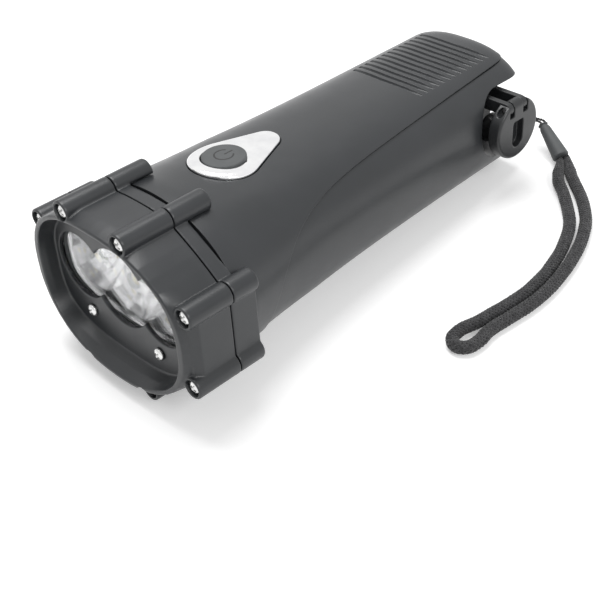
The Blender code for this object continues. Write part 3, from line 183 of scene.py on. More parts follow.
# Switch
switch_y = 0.0472
plate_front_radius = 0.0104
plate_tail_radius = 0.0046
plate_tail_distance = 0.0152
plate_seat = 0.0006
plate_rise = 0.0012
plate_bevel = 0.0013
plate_edge_rise = 0.0004
button_radius = 0.0064
button_rise = 0.0018
button_crown = 0.0006
button_stem_radius = 0.0022
button_travel = 0.0008
board_top_z = 0.0146
tact_height = 0.0035
tact_plunger_rise = 0.0011
sign_radius = 0.0027
sign_line = 0.00028
sign_opening = 0.62

# Crank
crank_y = 0.1410
crank_z = 0.0050
pocket_radius = 0.0113
pocket_floor_x = 0.0110
cup_wall = 0.0022
hub_radius = 0.0098
hub_thickness = 0.0030
hub_shaft_radius = 0.0025
arm_radius = 0.0100
arm_thickness = 0.0044
arm_inner_x = 0.0271
fold_offset = 0.0074
knuckle_radius = 0.0020
knuckle_half_width = 0.0022
ear_thickness = 0.0019
fold_pin_radius = 0.0010
arm_edge = 0.0008
thumb_slot_half_width = 0.0026
thumb_slot_depth = 0.0024
thumb_slot_low_z = -0.0062
thumb_slot_high_z = 0.0042
knob_offset = -0.0030
knob_radius = 0.0050
knob_length = 0.0072
knob_pin_radius = 0.0016
knob_waist = 0.0007
eye_x = 0.0045
eye_z = 0.0030
eye_thickness = 0.0022
eye_radius = 0.0027
eye_hole_radius = 0.0013

# Strap, in table coordinates
string_diameter = 0.0009
string_spacing = 0.0015
string_sag = 0.0012
ferrule_front = (0.0235, 0.0872, 0.0087)
ferrule_rear = (0.0348, 0.0818, 0.0031)
ferrule_front_radius = 0.0017
ferrule_rear_radius = 0.0028
strap_diameter = 0.0038
strap_squeeze_share = 0.58
strap_squeeze_length = 0.0070
strap_spacing = 0.0026
braid_radius = 0.00205
strap_route = [
    (0.0437, 0.0752), (0.0502, 0.0697), (0.0560, 0.0640), (0.0608, 0.0577), (0.0646, 0.0502),
    (0.0673, 0.0424), (0.0693, 0.0336), (0.0704, 0.0246), (0.0702, 0.0160), (0.0689, 0.0079),
    (0.0678, 0.0006), (0.0682, -0.0042), (0.0674, -0.0082), (0.0646, -0.0100), (0.0617, -0.0083),
    (0.0612, -0.0042), (0.0630, 0.0016), (0.0645, 0.0088), (0.0658, 0.0164), (0.0661, 0.0244),
    (0.0651, 0.0328), (0.0632, 0.0408), (0.0604, 0.0483), (0.0568, 0.0550), (0.0520, 0.0607),
    (0.0465, 0.0664), (0.0407, 0.0718),
]


# Building blocks

def solid(name, points, faces):
    mesh = bpy.data.meshes.new(name)
    mesh.from_pydata([tuple(point) for point in points], [], faces)
    mesh.update()
    obj = bpy.data.objects.new(name, mesh)
    bpy.context.scene.collection.objects.link(obj)
    volume = 0.0
    mesh.calc_loop_triangles()
    for triangle in mesh.loop_triangles:
        a, b, c = (mesh.vertices[index].co for index in triangle.vertices)
        volume += a.dot(b.cross(c))
    if volume < 0:
        mesh.flip_normals()
    return obj


def loft(name, rings, joined_up=False):
    """A closed body through rings of equally many points: capped at both ends, or joined up into a ring."""
    count = len(rings[0])
    points = [point for ring in rings for point in ring]
    levels = len(rings) if joined_up else len(rings) - 1
    faces = []
    for level in range(levels):
        low, high = level * count, (level + 1) % len(rings) * count
        for step in range(count):
            following = (step + 1) % count
            faces.append((low + step, low + following, high + following, high + step))
    if not joined_up:
        faces.append(tuple(reversed(range(count))))
        faces.append(tuple(range(len(points) - count, len(points))))
    return solid(name, points, faces)


def circle(radius, sides, phase=0.0):
    turns = (phase + math.tau * step / sides for step in range(sides))
    return [(radius * math.cos(turn), radius * math.sin(turn)) for turn in turns]


def on_axis(axis, along, first, second):
    if axis == "X":
        return Vector((along, first, second))
    if axis == "Y":
        return Vector((second, along, first))
    return Vector((first, second, along))


def turned(name, axis, centre, profile, sides=64, joined_up=False, phase=0.0):
    rings = [
        [Vector(centre) + on_axis(axis, along, *point) for point in circle(radius, sides, phase)]
        for along, radius in profile
    ]
    return loft(name, rings, joined_up)


def rod(name, axis, centre, start, end, radius, sides=48):
    return turned(name, axis, centre, [(start, radius), (end, radius)], sides)


def extrusion(name, axis, outline, start, end):
    return loft(name, [[on_axis(axis, along, *point) for point in outline] for along in (start, end)])


def block(name, low, high):
    outline = [(low[0], low[1]), (high[0], low[1]), (high[0], high[1]), (low[0], high[1])]
    return extrusion(name, "Z", outline, low[2], high[2])


def joined(objects):
    target = objects[0]
    points = []
    faces = []
    for obj in objects:
        start = len(points)
        points += [vertex.co.copy() for vertex in obj.data.vertices]
        faces += [tuple(start + index for index in face.vertices) for face in obj.data.polygons]
    mesh = bpy.data.meshes.new(target.name)
    mesh.from_pydata(points, [], faces)
    for obj in objects[1:]:
        bpy.data.objects.remove(obj, do_unlink=True)
    target.data = mesh
    return target


def applied(obj):
    """The object with its modifiers worked into its mesh."""
    graph = bpy.context.evaluated_depsgraph_get()
    mesh = bpy.data.meshes.new_from_object(obj.evaluated_get(graph))
    obj.modifiers.clear()
    obj.data = mesh
    return obj


def combine(target, operation, tools):
    for tool in tools:
        modifier = target.modifiers.new(operation, "BOOLEAN")
        modifier.operation = operation
        modifier.solver = "EXACT"
        modifier.object = tool
        applied(target)
        bpy.data.objects.remove(tool, do_unlink=True)
    return target


def cut(target, *tools):
    return combine(target, "DIFFERENCE", tools)


def add(target, *tools):
    return combine(target, "UNION", tools)


def keep_inside(target, tool):
    return combine(target, "INTERSECT", [tool])


def softened(obj, voxel, rounds, keep_share):
    """Even faces with every edge a little round, as moulded plastic has them."""
    even = obj.modifiers.new("even", "REMESH")
    even.mode = "VOXEL"
    even.voxel_size = voxel
    soft = obj.modifiers.new("soft", "SMOOTH")
    soft.factor = 0.5
    soft.iterations = rounds
    light = obj.modifiers.new("light", "DECIMATE")
    light.ratio = keep_share
    return applied(obj)


def superellipse(half_width, half_height, squareness, points, centre_z=0.0):
    power = 2.0 / squareness
    outline = []
    for step in range(points):
        turn = math.tau * step / points
        across, up = math.cos(turn), math.sin(turn)
        x = half_width * math.copysign(abs(across) ** power, across)
        z = half_height * math.copysign(abs(up) ** power, up)
        outline.append((x, centre_z + z))
    return outline


def at_depth(outline, y):
    return [Vector((x, y, z)) for x, z in outline]


def two_circles(centre, radius, far_centre, far_radius, steps):
    """The outline round two circles and their outer tangents."""
    run = Vector(far_centre) - Vector(centre)
    heading = math.atan2(run.y, run.x)
    spread = math.acos((radius - far_radius) / run.length)
    outline = []
    for middle, size, start, end in (
        (Vector(far_centre), far_radius, heading - spread, heading + spread),
        (Vector(centre), radius, heading + spread, heading - spread + math.tau),
    ):
        for step in range(steps + 1):
            turn = start + (end - start) * step / steps
            outline.append(tuple(middle + size * Vector((math.cos(turn), math.sin(turn)))))
    return outline


def quarter_round(start, end, steps=5):
    """Points of a quarter circle-like curve from start to end, leaving along the first value."""
    points = []
    for step in range(steps + 1):
        turn = math.pi / 2 * step / steps
        first = start[0] + (end[0] - start[0]) * math.sin(turn)
        second = start[1] + (end[1] - start[1]) * (1 - math.cos(turn))
        points.append((first, second))
    return points


# Materials: every look comes from noise and waves in the piece's own space

def shader_of(name, roughness, metallic=0.0):
    material = bpy.data.materials.new(name)
    material.use_nodes = True
    shader = material.node_tree.nodes["Principled BSDF"]
    shader.inputs["Roughness"].default_value = roughness
    shader.inputs["Metallic"].default_value = metallic
    return material, material.node_tree, shader


def noise(tree, scale, detail=3.0):
    place = tree.nodes.new("ShaderNodeTexCoord")
    texture = tree.nodes.new("ShaderNodeTexNoise")
    texture.inputs["Scale"].default_value = scale
    texture.inputs["Detail"].default_value = detail
    tree.links.new(place.outputs["Object"], texture.inputs["Vector"])
    return texture.outputs["Fac"]


def ramp(tree, source, target, low, high, start=0.3, end=0.7):
    """Drives a colour or a number from low to high as the source goes from start to end."""
    blend = tree.nodes.new("ShaderNodeValToRGB")
    blend.color_ramp.elements[0].position = start
    blend.color_ramp.elements[1].position = end
    for element, value in zip(blend.color_ramp.elements, (low, high)):
        element.color = (*value, 1.0) if isinstance(value, tuple) else (value, value, value, 1.0)
    tree.links.new(source, blend.inputs["Fac"])
    tree.links.new(blend.outputs["Color"], target)
    return blend


def grain(tree, shader, source, strength, height, edge=None):
    """Fine relief on the surface, and where edge is given, edges that catch the light as if a little round."""
    bump = tree.nodes.new("ShaderNodeBump")
    bump.inputs["Strength"].default_value = strength
    bump.inputs["Distance"].default_value = height
    tree.links.new(source, bump.inputs["Height"])
    if edge:
        rounding = tree.nodes.new("ShaderNodeBevel")
        rounding.samples = 6
        rounding.inputs["Radius"].default_value = edge
        tree.links.new(rounding.outputs["Normal"], bump.inputs["Normal"])
    tree.links.new(bump.outputs["Normal"], shader.inputs["Normal"])


def plastic(name, dark, light, smooth, rough, grain_size=0.00035, depth=0.00003, edge=None):
    material, tree, shader = shader_of(name, (smooth + rough) / 2)
    cloud = noise(tree, 45.0)
    ramp(tree, cloud, shader.inputs["Base Color"], dark, light)
    ramp(tree, noise(tree, 160.0), shader.inputs["Roughness"], smooth, rough)
    grain(tree, shader, noise(tree, 1 / grain_size, 2.0), 0.35, depth, edge)
    return material


def metal(name, dark, light, smooth, rough, scratch_size=0.0006, depth=0.00001, edge=None):
    material, tree, shader = shader_of(name, (smooth + rough) / 2, 1.0)
    ramp(tree, noise(tree, 220.0), shader.inputs["Base Color"], dark, light)
    ramp(tree, noise(tree, 500.0), shader.inputs["Roughness"], smooth, rough)
    grain(tree, shader, noise(tree, 1 / scratch_size, 4.0), 0.15, depth, edge)
    return material


body_plastic = plastic(
    "satin_black_plastic", (0.020, 0.022, 0.024), (0.025, 0.027, 0.030), 0.30, 0.36, edge=gap
)
# The head's plastic is the body's black plastic made a little darker: painted shade for the mouth, the bosses and the
# collar.
head_plastic_painted_shade = plastic("head_black_plastic_painted_shade", (0.018, 0.020, 0.022), (0.024, 0.026, 0.029), 0.32, 0.40)
# The crank's plastic is the body's black plastic made darker still: painted shade for the crank on the torch's shaded
# right flank.
crank_plastic_painted_shade = plastic("crank_black_plastic_painted_shade", (0.012, 0.013, 0.014), (0.018, 0.019, 0.021), 0.30, 0.40)
dark_rubber = plastic(
    "dark_rubber", (0.060, 0.064, 0.066), (0.080, 0.084, 0.086), 0.55, 0.70, 0.0005, 0.00005
)
sign_paint = plastic("sign_paint", (0.006, 0.006, 0.007), (0.010, 0.010, 0.011), 0.45, 0.60)
chrome = metal("satin_chrome", (0.82, 0.82, 0.83), (0.92, 0.92, 0.92), 0.06, 0.12)
screw_steel = metal("bright_screw_steel", (0.62, 0.62, 0.62), (0.78, 0.78, 0.77), 0.16, 0.30)
steel = metal("plain_steel", (0.45, 0.45, 0.46), (0.58, 0.58, 0.58), 0.28, 0.40)
mirror = metal("reflector_mirror", (0.86, 0.86, 0.87), (0.94, 0.94, 0.94), 0.10, 0.16)
copper = metal("enamelled_copper", (0.55, 0.22, 0.09), (0.72, 0.34, 0.16), 0.25, 0.40)
nylon = plastic("white_nylon", (0.74, 0.73, 0.68), (0.84, 0.83, 0.78), 0.40, 0.52)
board_green = plastic("board_green", (0.012, 0.10, 0.035), (0.020, 0.16, 0.055), 0.30, 0.42)
wrap_green = plastic("battery_wrap", (0.05, 0.18, 0.09), (0.07, 0.24, 0.12), 0.25, 0.38)
magnet_grey = plastic("magnet_grey", (0.09, 0.09, 0.10), (0.14, 0.14, 0.15), 0.45, 0.60)
phosphor = plastic("led_phosphor", (0.75, 0.62, 0.10), (0.85, 0.72, 0.18), 0.40, 0.55)


def clear(name, tint, smooth, rough, alpha):
    """A clear moulding that lets the light through to what is behind it."""
    material, tree, shader = shader_of(name, (smooth + rough) / 2)
    shader.inputs["Base Color"].default_value = (*tint, 1.0)
    shader.inputs["Transmission Weight"].default_value = 1.0
    shader.inputs["IOR"].default_value = 1.46
    shader.inputs["Alpha"].default_value = alpha
    ramp(tree, noise(tree, 90.0), shader.inputs["Roughness"], smooth, rough)
    return material


lens_clear = clear("clear_lens", (0.97, 0.98, 0.99), 0.01, 0.04, 0.30)
led_clear = clear("led_epoxy", (0.95, 0.96, 0.97), 0.02, 0.05, 0.60)


def yarn(name):
    """Black knitted yarn: fine fibres, dull, with a faint sheen."""
    material, tree, shader = shader_of(name, 0.85)
    shader.inputs["Sheen Weight"].default_value = 0.25
    shader.inputs["Sheen Roughness"].default_value = 0.5
    ramp(tree, noise(tree, 900.0), shader.inputs["Base Color"], (0.010, 0.010, 0.011), (0.040, 0.040, 0.042))
    ramp(tree, noise(tree, 400.0), shader.inputs["Roughness"], 0.75, 0.95)
    grain(tree, shader, noise(tree, 5000.0, 4.0), 0.6, 0.0001)
    return material


strap_yarn = yarn("knitted_yarn")


def finished(obj, body, material, *nodes, sharp=math.radians(30), on_torch=True):
    """Lays a piece where its solid is, gives it its material, and lets it ride on the body."""
    if on_torch:
        obj.data.transform(to_table)
    obj.data.materials.clear()
    obj.data.materials.append(material)
    obj.data.shade_smooth()
    if sharp:
        obj.data.set_sharp_from_angle(angle=sharp)
    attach(obj, body)
    if nodes:
        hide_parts(*nodes)
    return obj


# Camera

camera_data = bpy.data.cameras.new("camera")
camera_data.lens = camera_lens
camera_data.sensor_width = sensor_width
camera = bpy.data.objects.new("camera", camera_data)
camera.location = camera_place
camera.rotation_euler = camera_turn
bpy.context.scene.collection.objects.link(camera)
bpy.context.scene.camera = camera


# Cords

def curve_point(before, start, end, after, share):
    return 0.5 * (
        2 * start + (end - before) * share + (2 * before - 5 * start + 4 * end - after) * share**2
        + (3 * start - before - 3 * end + after) * share**3
    )


def smooth_route(points, pitch):
    """Points at an even pitch along one smooth curve through the given points."""
    points = [Vector(point) for point in points]
    ends = [2 * points[0] - points[1]] + points + [2 * points[-1] - points[-2]]
    fine = []
    steps = 24
    for index in range(len(points) - 1):
        fine += [curve_point(*ends[index:index + 4], step / steps) for step in range(steps)]
    fine.append(points[-1])
    travelled = [0.0]
    for start, end in zip(fine, fine[1:]):
        travelled.append(travelled[-1] + (end - start).length)
    count = round(travelled[-1] / pitch)
    route = []
    index = 0
    for number in range(count + 1):
        wanted = travelled[-1] * number / count
        while index < len(fine) - 2 and travelled[index + 1] < wanted:
            index += 1
        share = (wanted - travelled[index]) / (travelled[index + 1] - travelled[index])
        route.append(fine[index].lerp(fine[index + 1], min(share, 1.0)))
    return route


def frames_along(route):
    """Two directions square to the route at each point, turning as little as they can."""
    frames = []
    side = None
    for index in range(len(route)):
        ahead = route[min(index + 1, len(route) - 1)]
        behind = route[max(index - 1, 0)]
        along = (ahead - behind).normalized()
        if side is None:
            side = along.cross(Vector((0.0, 0.0, 1.0))).normalized()
        side = (side - along * side.dot(along)).normalized()
        frames.append((side, along.cross(side)))
    return frames


def strand(route, frames, centre_at, radius_at, sides):
    """One strand beside the route: centre_at gives its place across, and radius_at its half thickness."""
    middle = [
        point + side * centre_at(index)[0] + up * centre_at(index)[1]
        for index, (point, (side, up)) in enumerate(zip(route, frames))
    ]
    rings = []
    for index, (point, (side, up)) in enumerate(zip(middle, frames_along(middle))):
        rings.append([point + side * x + up * y for x, y in circle(radius_at(index), sides)])
    return loft("strand", rings)


def braided(name, route, share_at, radius, strands, pitch, yarn_radius, swing):
    """A round braid: half of the strands wind each way, and each passes over and under the others in turn."""
    frames = frames_along(route)
    travelled = [0.0]
    for start, end in zip(route, route[1:]):
        travelled.append(travelled[-1] + (end - start).length)
    core_radius = radius - yarn_radius * 1.3
    pieces = [
        strand(route, frames, lambda index: (0.0, 0.0), lambda index: core_radius * share_at(index), 14)
    ]
    for number in range(strands):
        way = 1 if number % 2 else -1
        phase = math.tau * number / strands

        def centre_at(index, way=way, phase=phase):
            turn = phase + way * math.tau * travelled[index] / pitch
            weave = way * swing * math.sin(strands / 2 * turn - way * phase)
            reach = (radius - yarn_radius + weave - swing) * share_at(index)
            return reach * math.cos(turn), reach * math.sin(turn)

        pieces.append(strand(route, frames, centre_at, lambda index: yarn_radius * share_at(index), 6))
    obj = joined(pieces)
    obj.name = name
    return obj


def make_strap():
    """The loop of soft cord, squeezed where its two ends enter the ferrule."""
    rear = Vector(ferrule_rear)
    along = (rear - Vector(ferrule_front)).normalized()
    start = rear + along * 2 * gap
    across = along.cross(Vector((0.0, 0.0, 1.0))).normalized() * strap_spacing / 2
    height = strap_diameter / 2 + gap
    points = [start - across, start - across + along * strap_spacing / 2]
    points += [Vector((x, y, height)) for x, y in strap_route]
    points += [start + across + along * strap_spacing / 2, start + across]
    route = smooth_route(points, 0.0004)

    def share_at(index):
        near = min((route[index] - start).length / strap_squeeze_length, 1.0)
        return strap_squeeze_share + (1 - strap_squeeze_share) * near

    strap = braided("strap_braid", route, share_at, braid_radius, 16, 0.0090, 0.00036, 0.00010)
    finished(strap, "torch_body", strap_yarn, "strap_loop", sharp=None, on_torch=False)
    return strap


def make_string():
    """A thin twisted loop, from the ferrule through the eye, round behind it, and back to the ferrule."""
    eye_y = barrel_length + eye_radius
    clear_by = string_diameter / 2 + 2 * gap
    right, left = eye_x + eye_thickness / 2 + clear_by, eye_x - eye_thickness / 2 - clear_by
    behind = eye_y + eye_radius + clear_by
    round_eye = [
        to_table @ Vector(point)
        for point in (
            (right, eye_y, eye_z), (eye_x, eye_y, eye_z), (left, eye_y + clear_by, eye_z),
            (left, behind - clear_by, eye_z), (eye_x, behind + slip, eye_z),
            (right + clear_by, behind, eye_z),
        )
    ]
    front = Vector(ferrule_front)
    away = (front - Vector(ferrule_rear)).normalized()
    end = front + away * gap
    across = away.cross(Vector((0.0, 0.0, 1.0))).normalized() * string_spacing / 2
    halfway = round_eye[0].lerp(end, 0.5) - Vector((0.0, 0.0, string_sag))
    points = [end - across, end - across + away * string_spacing, halfway - across]
    points += round_eye
    points += [halfway + across, end + across + away * string_spacing, end + across]
    route = smooth_route(points, 0.00025)
    frames = frames_along(route)
    ply = string_diameter / 4
    plies = []
    for phase in (0.0, math.pi):

        def centre_at(index, phase=phase):
            turn = phase + math.tau * index * 0.00025 / 0.0018
            return ply * math.cos(turn), ply * math.sin(turn)

        plies.append(strand(route, frames, centre_at, lambda index: ply, 8))
    string = joined(plies)
    string.name = "string_twist"
    finished(string, "torch_body", strap_yarn, "lanyard_string", sharp=None, on_torch=False)
    return string


def make_ferrule():
    """A soft tapered sleeve with a rounded lip at each end."""
    front, rear = Vector(ferrule_front), Vector(ferrule_rear)
    length = (rear - front).length
    lip = 0.0004
    profile = [(0.0, ferrule_front_radius - 2 * lip)]
    lip_round = quarter_round((0.0, 0.0), (lip, lip))
    profile += [(lip - y, ferrule_front_radius - lip + x) for x, y in lip_round]
    steps = 10
    for step in range(1, steps):
        share = step / steps
        radius = ferrule_front_radius + (ferrule_rear_radius - ferrule_front_radius) * share
        profile.append((lip + (length - 2 * lip) * share, radius))
    profile += [(length - lip, ferrule_rear_radius), (length - lip / 3, ferrule_rear_radius - lip / 3)]
    profile.append((length, ferrule_rear_radius - lip))
    body = turned("ferrule_sleeve", "Z", (0.0, 0.0, 0.0), sorted(profile), 40)
    turn = (rear - front).to_track_quat("Z", "Y").to_matrix().to_4x4()
    body.data.transform(Matrix.Translation(front) @ turn)
    return finished(body, "torch_body", dark_rubber, "strap_ferrule", on_torch=False)


make_strap()
make_string()
make_ferrule()


# Head

def octagon(width_share=1.0, height_share=1.0, inset=0.0, steps=6):
    top_x, top_z = corner_top_x * width_share, corner_top_z * height_share - inset
    side_x, side_z = corner_side_x * width_share - inset, corner_side_z * height_share
    corners = [
        (side_x, -side_z), (side_x, side_z), (top_x, top_z), (-top_x, top_z),
        (-side_x, side_z), (-side_x, -side_z), (-top_x, -top_z), (top_x, -top_z),
    ]
    outline = []
    for index, corner in enumerate(corners):
        start, end = Vector(corner), Vector(corners[(index + 1) % len(corners)])
        outward = Vector(((end - start).y, -(end - start).x)).normalized()
        for step in range(steps):
            share = step / steps
            crown = 4 * facet_bulge * share * (1 - share)
            outline.append(tuple(start + (end - start) * share + outward * crown))
    return outline


boss_places = [
    (-corner_top_x, corner_top_z, top_boss_start), (corner_top_x, corner_top_z, top_boss_start),
    (corner_side_x, corner_side_z, side_boss_start), (corner_side_x, -corner_side_z, side_boss_start),
    (corner_top_x, -corner_top_z, low_boss_start), (-corner_top_x, -corner_top_z, low_boss_start),
    (-corner_side_x, -corner_side_z, left_boss_start), (-corner_side_x, corner_side_z, left_boss_start),
]
cells = [(-cell_pitch, outer_cell_radius), (0.0, middle_cell_radius), (cell_pitch, outer_cell_radius)]


def screw_seat(boss_start):
    return boss_start + bezel_screw_depth + bezel_screw_head_height + gap


def boss(name, x, z, start, end, round_start, round_end):
    """A round boss along the head, with a soft edge at its free ends."""
    profile = []
    if round_start:
        profile += [(start + round_start * (1 - math.sin(turn)), boss_radius - round_start * (1 - math.cos(turn)))
                    for turn in (math.pi / 2 * (1 - step / 4) for step in range(5))]
    else:
        profile.append((start, boss_radius))
    if round_end:
        profile += [(end - round_end * (1 - math.sin(turn)), boss_radius - round_end * (1 - math.cos(turn)))
                    for turn in (math.pi / 2 * step / 4 for step in range(5))]
    else:
        profile.append((end, boss_radius))
    return turned(name, "Y", (x, 0.0, z), profile, 40)


def rim_ring(y, share, inset=0.0):
    """The head's outline at this depth, from the rim's oval (share 0) to the octagon (share 1), bowed back."""
    bow = rim_bow * max(1 - y / rim_taper_length, 0.0)
    ring = []
    for x, z in octagon():
        away = Vector((x, z)).normalized()
        across = abs(away.x) / (rim_half_width - inset)
        up = abs(away.y) / (rim_half_height - inset)
        oval = away * (across**rim_squareness + up**rim_squareness) ** (-1 / rim_squareness)
        place = oval.lerp(Vector((x, z)), share)
        ring.append(Vector((place.x, y + bow * (place.x / corner_side_x) ** 2, place.y)))
    return ring


def mouth_outline(share, points):
    """The mouth's outline, from its ledge (share 0) to its front (share 1)."""
    return superellipse(
        mouth_half_width + (mouth_front_half_width - mouth_half_width) * share,
        mouth_half_height + (mouth_front_half_height - mouth_half_height) * share,
        mouth_squareness + (mouth_front_squareness - mouth_squareness) * share, points,
    )


def side_panels(start, end, bevel):
    """The flat panels between the two bosses of each side, bevelled at the front."""
    panels = []
    inner = corner_side_x - facet_bulge * 4
    for side in (-1, 1):
        corners = [
            (side * inner, start), (side * (side_panel_x - bevel), start),
            (side * side_panel_x, start + bevel * 2), (side * side_panel_x, end), (side * inner, end),
        ]
        panels.append(extrusion("side_panel", "Z", corners, -corner_side_z, corner_side_z))
    return panels


def make_bezel():
    rings = [rim_ring(0.0, 0.0, rim_half_height / 2)]
    for step in range(5):
        turn = math.pi / 2 * step / 4
        rings.append(rim_ring(rim_lip * (1 - math.cos(turn)), 0.0, rim_lip * (1 - math.sin(turn))))
    for step in range(1, 9):
        share = step / 8
        rings.append(rim_ring(rim_lip + (rim_taper_length - rim_lip) * share, 1 - (1 - share) ** 1.7))
    rings.append(at_depth(octagon(), bezel_length))
    body = loft("bezel_moulding", rings)
    for x, z, start in boss_places:
        add(body, boss("boss", x, z, start, bezel_length, 0.0005, 0.0))
    add(body, *side_panels(side_panel_start, bezel_length, side_panel_bevel))
    steps = 96
    mouth = [
        at_depth(mouth_outline(share, steps), y)
        for y, share in ((-overrun, 1.02), (0.0, 1.02), (rim_lip, 1.0), (ledge_depth / 2, 0.42), (ledge_depth, 0.0))
    ]
    cavity = superellipse(cavity_half_width, cavity_half_height, mouth_squareness, steps)
    cavity_rings = [at_depth(cavity, y) for y in (ledge_depth + ledge_thickness, bezel_length + overrun)]
    cut(body, loft("mouth", mouth), loft("cavity", cavity_rings))
    for x, radius in cells:
        cut(body, rod("window", "Y", (x, 0.0, cell_height), 0.0, bezel_length, radius + window_margin, 96))
    head_room = bezel_screw_head_radius + gap
    tools = [
        turned(
            "counterbore", "Y", (x, 0.0, z),
            [
                (-overrun, head_room), (screw_seat(start), head_room),
                (screw_seat(start), bezel_screw_radius + gap),
                (bezel_length + overrun, bezel_screw_radius + gap),
            ],
            32,
        )
        for x, z, start in boss_places
    ]
    tools += [
        rod(
            "screw_hole", "Y", (x, 0.0, reflector_screw_z),
            ledge_depth - overrun / 2, bezel_length, reflector_screw_radius + gap, 24,
        )
        for x in (-reflector_screw_x, reflector_screw_x)
    ]
    cut(body, joined(tools))
    softened(body, moulding_voxel, moulding_rounds, moulding_share)
    return finished(body, "torch_body", head_plastic_painted_shade, "front_bezel", sharp=None)


def make_collar():
    start = bezel_length + gap
    end = start + collar_length
    rings = [
        at_depth(octagon(), start),
        at_depth(octagon(), end - collar_chamfer),
        at_depth(octagon(inset=collar_chamfer / 2), end),
    ]
    body = loft("collar_moulding", rings)
    for x, z, _ in boss_places:
        finger_end = side_finger_end if abs(x) == corner_side_x else top_finger_end
        add(body, boss("boss", x, z, start, finger_end, 0.0, 0.0007))
    add(body, *side_panels(start, side_finger_end, gap / 2))
    barrel = barrel_body("barrel", -gap, end - collar_chamfer / 4, barrel_length, 96)
    bore = [barrel_ring(y, spigot_step - collar_bore_gap, 96) for y in (start - overrun, end + overrun)]
    cut(body, barrel, loft("bore", bore))
    softened(body, moulding_voxel, moulding_rounds, moulding_share)
    return finished(body, "torch_body", head_plastic_painted_shade, "head_collar", sharp=None)


# Barrel

def barrel_half_width(y):
    past = max(y, flare_end) - flare_start
    return waist_half_width + head_flare_width * math.exp(-past / flare_width_reach)


def barrel_half_height(y):
    past = max(y, flare_end) - flare_start
    return waist_half_height + head_flare_height * math.exp(-past / flare_height_reach)


def barrel_centre_z(y):
    share = (y - flare_start) / (barrel_length - flare_start)
    return tail_rise * min(max(share, 0.0), 1.0)


def barrel_squareness(y):
    share = min(max((y - flare_end) / squareness_reach, 0.0), 1.0)
    return front_squareness + (tail_squareness - front_squareness) * share


def barrel_ring(y, inset, points):
    outline = superellipse(
        barrel_half_width(y) - inset, barrel_half_height(y) - inset, barrel_squareness(y),
        points, barrel_centre_z(y)
    )
    return at_depth(outline, y)


def barrel_top_z(x, y):
    share = abs(x) / barrel_half_width(y)
    squareness = barrel_squareness(y)
    return barrel_centre_z(y) + barrel_half_height(y) * (1 - share**squareness) ** (1 / squareness)


def tail_inset(y):
    past = y - (barrel_length - tail_round_length)
    if past <= 0:
        return 0.0
    share = min(past / tail_round_length, 1.0)
    return tail_round_depth * (1 - math.sqrt(1 - share * share))


def barrel_body(name, inset, start_y, end_y, points):
    straight_end = barrel_length - tail_round_length
    count = 40
    stops = [start_y + (straight_end - start_y) * (step / count) ** 1.3 for step in range(count + 1)]
    stops += [straight_end + (end_y - straight_end) * math.sin(math.pi / 2 * step / 8) for step in range(1, 9)]
    return loft(name, [barrel_ring(y, inset + tail_inset(y), points) for y in stops])


barrel_start = bezel_length + gap + collar_length + gap
ring_points = 144


def hollow_barrel(name, inset):
    spigot_start = bezel_length + gap
    body = barrel_body(name, inset, barrel_start, barrel_length, ring_points)
    spigot = [barrel_ring(y, spigot_step, ring_points) for y in (spigot_start, barrel_start + overrun / 2)]
    add(body, loft("spigot", spigot))
    bore_end = barrel_start + wall
    bore = [barrel_ring(y, spigot_step + spigot_wall, 48) for y in (spigot_start - overrun, bore_end)]
    room = barrel_body("room", wall + lower_shell_inset, bore_end - wall / 2, barrel_length - wall, 48)
    return cut(body, loft("bore", bore), room)


def line_height(y):
    return line_level + line_slope * y - line_drop * math.exp(-(y - line_drop_y) / line_drop_reach)


def below_line(name, shift):
    bottom = -(waist_half_height + head_flare_height) - overrun * 3
    first_y = line_drop_y - line_drop_reach * math.log((line_level - bottom) / line_drop)
    last_y = barrel_length + overrun
    steps = 90
    outline = []
    for step in range(steps + 1):
        y = first_y + (last_y - first_y) * (step / steps) ** 2
        rise = line_slope + line_drop / line_drop_reach * math.exp(-(y - line_drop_y) / line_drop_reach)
        length = math.hypot(1.0, rise)
        outline.append((y + shift * rise / length, line_height(y) - shift / length))
    outline.append((last_y + overrun, outline[-1][1]))
    outline.append((last_y + overrun, bottom - overrun))
    outline.append((outline[0][0], bottom - overrun))
    reach = barrel_half_width(flare_end) + overrun
    return extrusion(name, "X", outline, -reach, reach)


def groove_cutter():
    """Bowed channels with round bottoms, which follow the barrel's crown and run out at their ends."""
    steps = 16
    grooves = []
    for number in range(groove_count):
        middle_y = first_groove_y + groove_pitch * number
        rings = []
        for step in range(steps + 1):
            across = 2 * step / steps - 1
            x = groove_half_length * across
            y = middle_y + groove_bow * across * across
            z = barrel_top_z(x, y)
            depth = groove_depth * (1 - across**8 * 0.7)
            half = groove_width / 2
            ring = [Vector((x, y - half, z + overrun)), Vector((x, y + half, z + overrun))]
            for stop in (1.0, 0.8, 0.4, 0.0, -0.4, -0.8, -1.0):
                ring.append(Vector((x, y + half * stop, z - depth * (1 - stop**4))))
            rings.append(ring)
        grooves.append(loft("groove", rings))
    return joined(grooves)


def drop_outline(margin, steps=40):
    tail = (0.0, switch_y + plate_tail_distance)
    return two_circles((0.0, switch_y), plate_front_radius + margin, tail, plate_tail_radius + margin, steps)


def over_barrel(outline, height):
    return [Vector((x, y, barrel_top_z(x, y) + height)) for x, y in outline]


button_top_z = barrel_top_z(0.0, switch_y) + button_rise
button_skirt_z = button_top_z - button_crown - plate_rise - plate_seat - gap
tact_top_z = board_top_z + gap + tact_height


